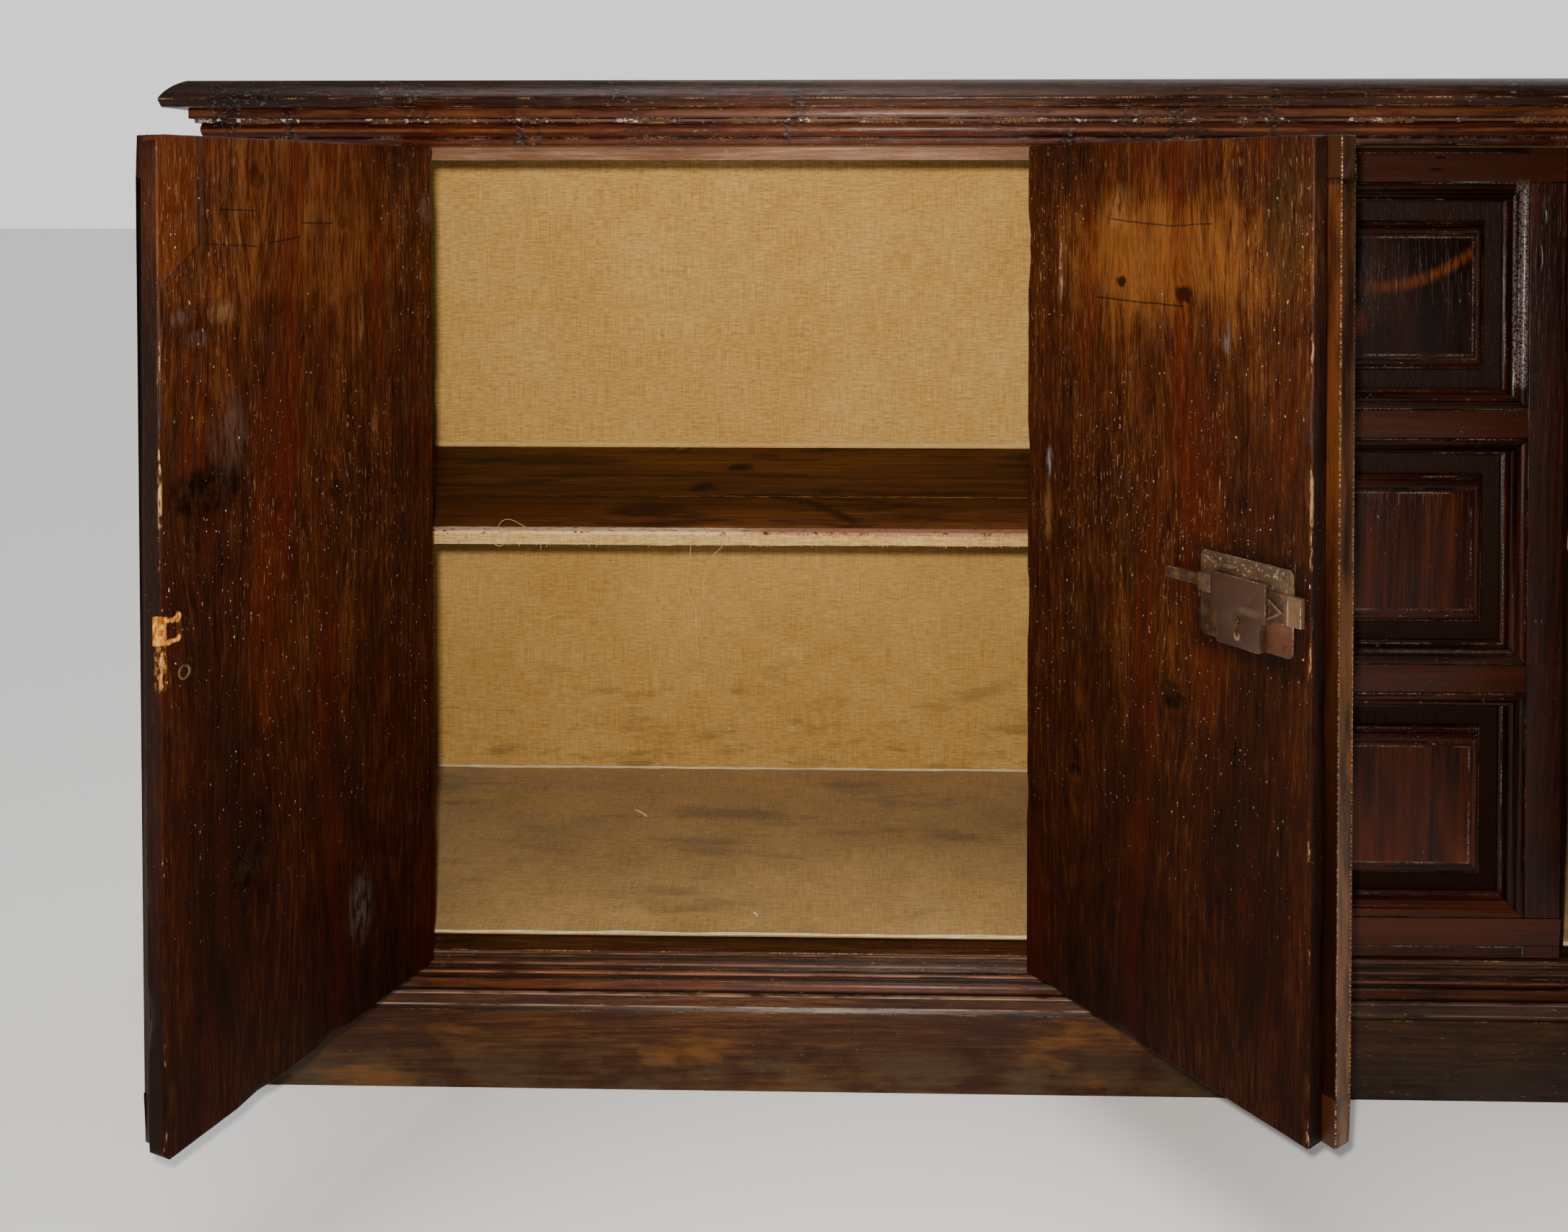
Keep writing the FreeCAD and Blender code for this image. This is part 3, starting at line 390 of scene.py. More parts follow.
# Grime in the hollows of a moulding, and lines in other tones, mostly pale painted highlights along its
# ridges: each line's height, half width, tone and strength
BASE_LINES = (
    (0.0838, 0.0009, SOOT, 0.8), (0.0997, 0.0010, SOOT, 0.8), (0.1092, 0.0013, SOOT, 0.8),
    (0.1200, 0.0012, SOOT, 0.7), (0.1268, 0.0010, SOOT, 0.7), (0.1040, 0.0032, shade(98, 46, 18), 0.45),
    (0.0868, 0.0007, shade(150, 124, 100), 0.6), (0.0984, 0.0007, shade(168, 132, 108), 0.6),
    (0.1152, 0.0009, shade(150, 96, 76), 0.6), (0.1226, 0.0008, shade(132, 92, 74), 0.5),
    (0.1310, 0.0008, shade(120, 92, 76), 0.5),
)
CORNICE_LINES = (
    (0.9914, 0.0009, SOOT, 0.85), (1.0066, 0.0010, SOOT, 0.85), (1.0110, 0.0008, SOOT, 0.85),
    (0.9880, 0.0022, shade(96, 66, 56), 0.4), (0.9992, 0.0016, shade(116, 66, 32), 0.5),
    (1.0090, 0.0012, shade(104, 72, 54), 0.5), (1.0165, 0.0030, shade(100, 62, 38), 0.5),
)
# What the colour of a piece is multiplied by right of the cabinet's middle: painted shade
RIGHT_SHADE = (0.36, 0.36, 0.42, 1.0)


def moulding_lines(paint, colour, lines, broken):
    """Grime along a moulding, and lines in other tones, mostly painted highlights on its ridges; these are
    broken up.
    """
    z = paint.split(paint.place)[2]
    for height, half, tone, strength in lines:
        share = paint.rise(abs(z - height), half * 1.5, half * 0.5)
        if tone is not SOOT:
            share *= broken
        colour = paint.mix(share * strength, colour, tone)
    return colour


def plain_wood(name, axis, tones, gloss=(0.4, 0.65), wear=0.5, coat=0.0, strength=0.4, lines=(), dusty=False,
               crazed=False, shaded_right=False):
    """The wood of a straight piece, its grain along one axis. Shaded right: painted shade right of the
    middle.
    """
    paint = Paint(name)
    place = along_axis(paint, axis)
    colour, rough, height = wood(paint, place, tones, gloss, broken=0.5)
    x, y, z = paint.split(paint.place)
    if lines:
        patch = paint.cloud(place, (60, 60, 16), 4.0, 0.65)
        colour = moulding_lines(paint, colour, lines, paint.rise(patch, 0.34, 0.6))
    if dusty:
        cloud = paint.cloud(paint.place, (16, 16, 30), 4.0, 0.65)
        share = paint.rise(z, 0.07, 0.0) * paint.rise(cloud, 0.36, 0.62)
        colour = paint.mix(share * 0.6, colour, shade(72, 62, 44))
        amber = paint.rise(paint.cloud(place, (30, 30, 7), 4.0, 0.6), 0.54, 0.7)
        colour = paint.mix(amber * 0.5, colour, shade(112, 72, 30))
        colour = paint.mix(paint.rise(cloud, 0.48, 0.34) * 0.4, colour, shade(40, 24, 15))
    if crazed:
        # dark cracks across the grain, with glints beside them
        crack = paint.cloud(place, (8, 8, 22), 3.0, 0.7)
        colour = paint.mix(paint.rise(crack, 0.56, 0.66) * 0.6, colour, shade(22, 10, 6))
        glint = paint.cloud(place, (330, 330, 190), 2.0, 0.6)
        near = paint.most(paint.rise(crack, 0.5, 0.56) * paint.between(z, 1.0066, 1.0112, 0.0006),
                          paint.rise(crack, 0.56, 0.62) * 0.12)
        glint = paint.rise(glint, 0.56, 0.62) * near
        colour = paint.mix(glint * 0.6, colour, PALE_FLECK)
    # painted shade right of the cabinet's middle
    if shaded_right:
        colour = paint.mix(paint.rise(x, 0.0, 0.12), colour, RIGHT_SHADE, "MULTIPLY")
    colour = flecks(paint, colour, place, 0.12, (420, 420, 120), 0.66)[0]
    colour, rough, worn = edge_wear(paint, colour, rough, wear)
    return finish_paint(paint, colour, rough, height - worn * 0.6, strength=strength, level=0.16, coat=coat)


# Pieces
BODY_OF = {}
for body_name, members in frame["record"]["behaviour"]["bodies"].items():
    for member in members:
        BODY_OF[member] = body_name


def link(name, data, body, material):
    """A new piece that moves with a body."""
    piece = bpy.data.objects.new(name, data)
    bpy.context.scene.collection.objects.link(piece)
    data.materials.append(material)
    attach(piece, body)
    return piece


def stand_in(name, data, node, material):
    """A piece that shows in place of a CAD node."""
    piece = link(name, data, BODY_OF[node], material)
    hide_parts(node)


def mesh_data(name, mesh):
    """Turns a bmesh into the data of a smooth piece."""
    data = bpy.data.meshes.new(name)
    mesh.to_mesh(data)
    mesh.free()
    data.shade_smooth()
    return data


# Edges sharper than this are rounded, and those of what comes out stay sharp in the shading
ROUNDED_ANGLE = math.radians(28)
SHADED_ANGLE = math.radians(40)
PANEL_REACH = 0.2


def softened(node, material, radius=0.0009, near=None, name=None):
    """The node, or what of it lies near one place across, again with its sharp edges rubbed round."""
    source = frame["nodes"][node]
    mesh = bmesh.new()
    mesh.from_mesh(source.data)
    mesh.transform(source.matrix_world)
    bmesh.ops.remove_doubles(mesh, verts=mesh.verts, dist=0.000002)
    bmesh.ops.dissolve_limit(mesh, angle_limit=math.radians(0.5), verts=mesh.verts, edges=mesh.edges)
    if near is not None:
        others = [vertex for vertex in mesh.verts if abs(vertex.co.x - near) > PANEL_REACH]
        bmesh.ops.delete(mesh, geom=others, context="VERTS")
    sharp = [edge for edge in mesh.edges
             if len(edge.link_faces) == 2 and edge.calc_face_angle(0) > ROUNDED_ANGLE]
    mark = mesh.faces.layers.float.new("edge")
    result = bmesh.ops.bevel(mesh, geom=sharp, offset=radius, offset_type="OFFSET", segments=2,
                             profile=0.5, affect="EDGES", clamp_overlap=True)
    for face in result["faces"]:
        face[mark] = 1.0
    name = (name or node) + "_soft"
    data = mesh_data(name, mesh)
    data.set_sharp_from_angle(angle=SHADED_ANGLE)
    stand_in(name, data, node, material)


def places_of(node):
    """Where the vertices of a CAD node are."""
    source = frame["nodes"][node]
    return [source.matrix_world @ vertex.co for vertex in source.data.vertices]


def box_of(places):
    """The low and the high corner of the box round some places."""
    return [Vector([pick(place[axis] for place in places) for axis in range(3)]) for pick in (min, max)]


def closed(vertex, door):
    """A place on an open door, turned back to where it is when the door is closed, from its hinge."""
    hinge, hand, angle = DOORS[door]
    turned = Matrix.Rotation(hand * angle, 3, "Z") @ (vertex - Vector((hinge, HINGE_LINE, 0)))
    return Vector((hand * turned.x, turned.y - HINGE_STAND, turned.z))


def opened(place, door):
    """The reverse of closed."""
    hinge, hand, angle = DOORS[door]
    local = Vector((hand * place[0], place[1] + HINGE_STAND, place[2]))
    return Matrix.Rotation(-hand * angle, 3, "Z") @ local + Vector((hinge, HINGE_LINE, 0))


def closed_box(node, door):
    """The box of a door's node when the door is closed, from its hinge."""
    return box_of([closed(place, door) for place in places_of(node)])


# How far the rows of vertices next to an edge lie from it
NEAR_EDGE = (0.0, 0.0008, 0.0018, 0.003, 0.0045, 0.0065)
NEAR_FACE = (0.0, 0.0008, 0.002, 0.0045)
# What a closed door's worn boards stay clear of the rail that they stop against
STOP_PLAY = 0.0003
NICK_DEPTH = 0.012


def stops(low, high, step):
    """Places from low to high, close together at the ends and a step apart between them."""
    inner = [low + part for part in NEAR_EDGE] + [high - part for part in NEAR_EDGE]
    count = max(1, round((high - low - 2 * NEAR_EDGE[-1]) / step))
    width = (high - low - 2 * NEAR_EDGE[-1]) / count
    inner += [low + NEAR_EDGE[-1] + width * index for index in range(1, count)]
    return sorted(inner)


def worn_board(door, material, corner):
    """A door's board as a dense shell with knocked edges and softened corners, inside its CAD solid."""
    node = f"door_{door}_boards"
    low, high = closed_box(node, door)
    high.y -= STOP_PLAY
    through = [low.y + part for part in NEAR_FACE] + [(low.y + high.y) / 2]
    through += [high.y - part for part in reversed(NEAR_FACE)]
    grid = [stops(low.x, high.x, 0.008), through, stops(low.z, high.z, 0.004)]
    mesh = bmesh.new()
    for axis in range(3):
        first, second = [other for other in range(3) if other != axis]
        for level in (low[axis], high[axis]):
            rows = []
            for a in grid[first]:
                row = []
                for b in grid[second]:
                    place = [0, 0, 0]
                    place[axis], place[first], place[second] = level, a, b
                    row.append(mesh.verts.new(place))
                rows.append(row)
            for i in range(len(rows) - 1):
                for j in range(len(rows[0]) - 1):
                    mesh.faces.new((rows[i][j], rows[i + 1][j], rows[i + 1][j + 1], rows[i][j + 1]))
    bmesh.ops.remove_doubles(mesh, verts=mesh.verts, dist=0.00001)
    seed = Vector((ord(door) * 1.7, 3.1, 0))
    for vertex in mesh.verts:
        place = vertex.co.copy()
        # the two corners at the free edge are rounded in the door's plane
        for top in (True, False):
            cx = high.x - corner
            cz = high.z - corner if top else low.z + corner
            dx = place.x - cx
            dz = place.z - cz
            if dx > 0 and (dz > 0 if top else dz < 0):
                far = math.hypot(dx, dz)
                square = max(abs(dx), abs(dz))
                place.x = cx + dx * square / far
                place.z = cz + dz * square / far
        rough = noise.noise(place * 38 + seed) + 0.6 * noise.noise(place * 95 + seed)
        radius = 0.0014 + 0.0016 * max(0.0, rough)
        deep = 0.0
        chip = noise.noise(Vector((place.x * 30, place.y * 30, place.z * 14)) + seed * 2)
        if chip > 0.22:
            deep = NICK_DEPTH * (chip - 0.22)
        gap = [min(place[axis] - low[axis], high[axis] - place[axis]) for axis in range(3)]
        near = sorted(gap)
        if near[1] < radius + deep:
            core = Vector([min(max(place[axis], low[axis] + radius), high[axis] - radius)
                           for axis in range(3)])
            away = place - core
            if away.length > 0:
                place = core + away.normalized() * max(0.0, radius - deep * (1 - near[1] / (radius + deep)))
        vertex.co = opened(place, door)
    bmesh.ops.recalc_face_normals(mesh, faces=mesh.faces)
    stand_in(node + "_worn", mesh_data(node + "_worn", mesh), node, material)


# What the doors' boards show. Places are across from the hinge and up from the floor.
KNOTS = {
    "a": (((0.2941, 0.6846), 0.021), ((0.2531, 0.3457), 0.018), ((0.2389, 0.9466), 0.010),
          ((0.2195, 0.6566), 0.009), ((0.1415, 0.6564), 0.010), ((0.1315, 0.9068), 0.007)),
    "b": (((0.1274, 0.8519), 0.006), ((0.2024, 0.8438), 0.009), ((0.1909, 0.4771), 0.014),
          ((0.0679, 0.3688), 0.008)),
    "c": (((0.2, 0.3), 0.012),),
    "d": (((0.12, 0.72), 0.014), ((0.26, 0.4), 0.010)),
}
# Scuffs and filler: a place, a half size, a colour and how strong it is
SCUFFS = {
    "a": (((0.3245, 0.8313), (0.010, 0.006), GREY_FILLER, 0.32),
          ((0.2785, 0.8315), (0.014, 0.008), WORN_WOOD, 0.12),
          ((0.3060, 0.8117), (0.012, 0.006), GREY_FILLER, 0.32),
          ((0.2731, 0.7280), (0.018, 0.030), GREY_FILLER, 0.24),
          ((0.1085, 0.8113), (0.004, 0.024), TAN_FLECK, 0.16),
          ((0.0889, 0.7075), (0.004, 0.018), TAN_FLECK, 0.16),
          ((0.0112, 0.9182), (0.008, 0.014), GREY_FILLER, 0.45),
          ((0.1135, 0.2448), (0.014, 0.03), GREY_FILLER, 0.35)),
    "b": (((0.0480, 0.8581), (0.0022, 0.024), shade(190, 148, 120), 0.5),
          ((0.2511, 0.8067), (0.004, 0.014), GREY_FILLER, 0.8),
          ((0.1234, 0.9192), (0.012, 0.022), TAN_FLECK, 0.22),
          ((0.0299, 0.6150), (0.006, 0.03), TAN_FLECK, 0.16),
          ((0.0326, 0.6665), (0.004, 0.012), PALE_FLECK, 0.2),
          ((0.3140, 0.9005), (0.02, 0.06), shade(52, 42, 20), 0.4)),
    "c": (),
    "d": (((0.2, 0.5), (0.02, 0.05), GREY_FILLER, 0.3),),
}
# Scratched and cracked lines: from, to, half width and how dark
CRACKS = {
    "a": (((0.2807, 0.9196), (0.2417, 0.9187), 0.0006, 0.8),
          ((0.1843, 0.9070), (0.1460, 0.9063), 0.0006, 0.8),
          ((0.2983, 0.8907), (0.2396, 0.8876), 0.0006, 0.7),
          ((0.2248, 0.8896), (0.1871, 0.8945), 0.0006, 0.7),
          ((0.0474, 0.1512), (0.0474, 0.9793), 0.0007, 0.75),
          ((0.2662, 0.3582), (0.2426, 0.3335), 0.0006, 0.6)),
    "b": (((0.1142, 0.9096), (0.1852, 0.9045), 0.0005, 0.8),
          ((0.1852, 0.9045), (0.2346, 0.9072), 0.0005, 0.7),
          ((0.0958, 0.8344), (0.2024, 0.8321), 0.0006, 0.8)),
    "c": (),
    "d": (((0.1, 0.5), (0.16, 0.502), 0.0006, 0.7),),
}
# How much lighter each door's boards are at the top, and how much painted shade darkens them at the foot
ZONES = {"a": (0.035, 0.03), "b": (0.005, 0.03), "c": (0.03, 0.03), "d": (0.03, 0.03)}
# What the boards' colour is multiplied by at each height: painted shade, darkest towards the foot
SHADE_BY_HEIGHT = ((0.1, (0.34, 0.3, 0.3, 1.0)), (0.3, (0.52, 0.46, 0.45, 1.0)), (0.55, (0.72, 0.68, 0.64, 1.0)),
          (0.86, (1.0, 1.0, 1.0, 1.0)))
# Where a lock is on its door
LOCK_MIDDLE = (0.2749, 0.5776)
LOCK_HALF = (0.052, 0.04)
# The joint of the corner patch of door a, from the door's top to its free edge
PATCH_TOP = (0.3045, 0.985)
PATCH_BEND = (0.3045, 0.8906)
PATCH_FOOT = (0.3405, 0.8610)
PATCH_SLOPE = 1.2


def board_paint(door):
    """The boards of one door: bare and worn inside, dark and waxed outside."""
    paint = Paint(f"door_{door}_boards")
    place = paint.door_place(door)
    across, deep, up = paint.split(place)
    high = closed_box(f"door_{door}_boards", door)[1]
    ragged = paint.cloud(place, (24, 24, 5), 3.0, 0.6)
    sway = (ragged - 0.5) * 0.06
    level = up + sway
    # lighter at the top, and darkened by painted shade towards the foot
    light = paint.rise(level, 0.832, 0.846) * paint.rise(level, 0.99, 0.9)
    foot = paint.rise(level, 0.56, 0.24)
    fade = light * ZONES[door][0] - foot * ZONES[door][1]
    if door == "b":
        glow = paint.spot(across, up, (0.176, 0.872), (0.110, 0.052), 0.8)
        fade = fade + glow * 0.125 - paint.rise(level, 0.91, 0.96) * 0.05
    fade += paint.rise(deep, 0.02, 0.018) * -0.25

    def tint(colour):
        red = paint.cloud(place, (22, 22, 2.4), 3.0, 0.6)
        colour = paint.mix(paint.rise(red, 0.5, 0.68) * 0.4, colour, shade(80, 27, 7))
        other = paint.vector("MULTIPLY", place, (14, 14, 4.5))
        olive = paint.noise(paint.vector("ADD", other, (7.0, 2.0, 4.0)), 4.0, 0.65)
        colour = paint.mix(paint.rise(olive, 0.53, 0.68) * 0.55, colour, shade(36, 22, 9))
        # painted shade, deepening towards the foot of the boards
        painted_shade = paint.ramp(up + sway * 1.5, *SHADE_BY_HEIGHT)
        return paint.mix(1.0, colour, painted_shade, "MULTIPLY")

    tones = GOLD_TONES if door == "b" else BOARD_TONES
    knots = KNOTS[door]
    colour, rough, height = wood(paint, place, tones, (0.34, 0.6), knots, broken=1.0, fade=fade, tint=tint)
    # dark, crumbly hearts of the knots
    crumbly = paint.cloud(place, (90, 90, 60), 4.0, 0.65)
    for centre, radius in knots:
        wobble = (crumbly - 0.5) * (radius * 1.6)
        wide = radius * (1.9 if radius > 0.02 else 1.0)
        heart = paint.spot(across + wobble, up - wobble, centre, (wide, radius * 0.9), 0.3)
        inner = paint.mix(paint.rise(crumbly, 0.4, 0.66), shade(13, 8, 5), shade(42, 26, 15))
        colour = paint.mix(heart * (0.86 if radius > 0.015 or door == "b" else 0.5), colour, inner)
        rough -= heart * 0.12
        height -= heart * 0.5
    scuffed = paint.cloud(place, (300, 300, 60), 3.0, 0.65)
    for centre, size, tone, strength in SCUFFS[door]:
        mark = paint.spot(across, up, centre, size, 0.6) * paint.rise(scuffed, 0.36, 0.6)
        colour = paint.mix(mark * strength, colour, tone)
    for start, end, half, strength in CRACKS[door]:
        mark = paint.line(across, up + sway * 0.05, start, end, half)
        colour = paint.mix(mark * strength, colour, SOOT)
        height -= mark
    if door == "a":
        colour = corner_patch(paint, colour, across, up, ragged)
        colour, rough, height, bare = strike(paint, colour, rough, height, (across, deep, up), high.x)
    if door in "bd":
        # dirt round the lock
        past = [abs(way - middle) - half for way, middle, half in zip((across, up), LOCK_MIDDLE, LOCK_HALF)]
        beside = paint.most(*past)
        colour = paint.mix(paint.rise(beside, 0.016, 0.0) * 0.6, colour, shade(14, 9, 6))
    # pale scuffs along the grain, and small white flecks
    zone = paint.rise(level, 0.30, 0.62)
    colour, share = flecks(paint, colour, place, 0.42, (680, 680, 70), 0.64, tone=TAN_FLECK, zone=zone)
    spotted = paint.vector("ADD", place, (5, 5, 5))
    zone = paint.rise(level, 0.24, 0.5)
    colour = flecks(paint, colour, spotted, 0.85, (430, 430, 250), 0.69, zone=zone)[0]
    height += share * 0.3
    # rubbed arrises, palest half way up the free edge
    edge_x = high.x - across
    arris = paint.rise(edge_x, 0.0032, 0.0012) * paint.rise(deep, 0.0335, 0.0368)
    grit = paint.cloud(place, (420, 420, 90), 3.0, 0.6)
    patch = paint.cloud(place, (10, 10, 13), 2.0, 0.5)
    middle = paint.between(up, 0.52, 0.84, 0.1) * 0.14
    arris *= paint.rise(grit + patch + middle, 1.17, 1.32)
    colour = paint.mix(arris * (0.75 if door == "a" else 0.4), colour, WORN_WOOD)
    side = paint.rise(edge_x, 0.0012, 0.0006) * paint.rise(deep, 0.037, 0.0355)
    stained = paint.rise(paint.cloud(place, (30, 30, 5), 3.0, 0.6), 0.62, 0.4)
    if door == "a":
        side *= 1.0 - bare
    aged = shade(30, 17, 9) if door == "a" else shade(26, 18, 15)
    colour = paint.mix(side * (0.45 + stained * 0.5), colour, aged)
    colour = paint.mix(paint.rise(deep, 0.0205, 0.0195) * 0.93, colour, shade(30, 17, 11))
    gloss = 0.04 + paint.rise(up, 0.2, 0.8) * 0.09
    return finish_paint(paint, colour, rough, height, strength=0.6, deep=0.0011, level=gloss)


def corner_patch(paint, colour, across, up, ragged):
    """A board let into the top corner at the free edge, with crumbling grey filler along its joint."""
    slant = across + (up - PATCH_BEND[1]) * PATCH_SLOPE
    crumbs = paint.cloud(paint.place, (120, 120, 60), 4.0, 0.65)
    shaken = across + (crumbs - 0.5) * 0.006
    joint = paint.most(paint.line(shaken, up, PATCH_TOP, PATCH_BEND, 0.0035, 0.9),
                       paint.line(shaken, up, PATCH_BEND, PATCH_FOOT, 0.0028, 0.9))
    filler = joint * paint.rise(ragged, 0.34, 0.56) * paint.rise(crumbs, 0.36, 0.6)
    crack = paint.most(paint.line(across, up, PATCH_TOP, PATCH_BEND, 0.0007),
                       paint.line(across, up, PATCH_BEND, PATCH_FOOT, 0.0009))
    patch = paint.rise(across, PATCH_BEND[0], PATCH_BEND[0] + 0.002)
    patch *= paint.rise(up, PATCH_FOOT[1], PATCH_FOOT[1] + 0.002)
    patch *= paint.rise(slant, PATCH_BEND[0], PATCH_BEND[0] + 0.0015)
    colour = paint.mix(patch * 0.22, colour, shade(98, 46, 16))
    colour = paint.mix(filler * 0.5, colour, shade(66, 54, 46))
    return paint.mix(crack * 0.5, colour, SOOT)


# The arms of the torn striking plate: how far in from the free edge, how high, a half size and how soft
STRIKE_ARMS = (
    (0.0120, 0.5836, (0.0080, 0.0020), 0.35), (0.0178, 0.5838, (0.0032, 0.0040), 0.3),
    (0.0115, 0.5655, (0.0070, 0.0020), 0.4), (0.0175, 0.5668, (0.0028, 0.0024), 0.4),
)


def strike(paint, colour, rough, height, place, edge):
    """The bare wood where a striking plate was torn off the free edge, and its outline."""
    across, deep, up = place
    broken = paint.cloud(paint.place, (300, 300, 160), 3.0, 0.6)
    loose = (paint.cloud(paint.place, (130, 130, 130), 3.0) - 0.5) * 0.006
    across += loose
    up += loose
    past = edge + 0.02
    block = paint.between(across, edge - 0.0058, past, 0.0006) * paint.between(up, 0.5641, 0.5876, 0.0007)
    block *= paint.rise(deep, 0.0282, 0.0292)
    arms = [paint.spot(across, up, (edge - back, high), size, soft) for back, high, size, soft in STRIKE_ARMS]
    outline = paint.between(across, edge - 0.0214, edge - 0.0165, 0.0006)
    outline *= paint.between(up, 0.5665, 0.584, 0.001)
    tail = paint.between(across, edge - 0.0048, past, 0.0012) * paint.between(up, 0.529, 0.5645, 0.004)
    tail *= paint.rise(broken, 0.42, 0.56) * paint.rise(deep, 0.029, 0.032)
    bare = paint.most(block, paint.most(*arms), outline * 0.07, tail * 0.5)
    raw = paint.mix(paint.rise(broken, 0.36, 0.62), shade(132, 72, 24), shade(214, 150, 70))
    return paint.mix(bare, colour, raw), rough + bare * 0.3, height - bare * 0.8, bare


def cells(paint, across, up, low, high):
    """How far a place is past the sides and the ends of its cell, and which cell it is in."""
    pitch = (high.z - low.z + RAIL_MIDDLE) / 3
    half_x = (high.x - low.x) / 2
    half_z = (pitch - RAIL_MIDDLE) / 2
    row = paint.math("FLOOR", (up - low.z) / pitch)
    dz = abs(up - (row * pitch + low.z) - half_z)
    dx = abs(across - (low.x + high.x) / 2)
    return dx - half_x, dz - half_z, row


# From a cell's edge to the middle field of its panel
FIELD_INSET = 0.057
# Thin lines of painted highlight: how far in from a cell's edge, and the half widths where they fade and are
# full
HIGHLIGHT_LINES = ((0.0572, 0.0014, 0.0004), (0.0425, 0.001, 0.0003), (0.0178, 0.0009, 0.0003),
              (0.0012, 0.0009, 0.0003))
# Lines of grime beside the mouldings: how far in, and the half width
GRIME_LINES = ((0.021, 0.0025), (0.04, 0.0025), (0.0, 0.0012))
# Nicks in the top panel of door c: a place and a half size
NICKS = (((0.3106, 0.9106), (0.0025, 0.008)), ((0.3073, 0.8674), (0.002, 0.012)),
         ((0.2054, 0.9717), (0.006, 0.0015)), ((0.2004, 0.9598), (0.006, 0.0015)))


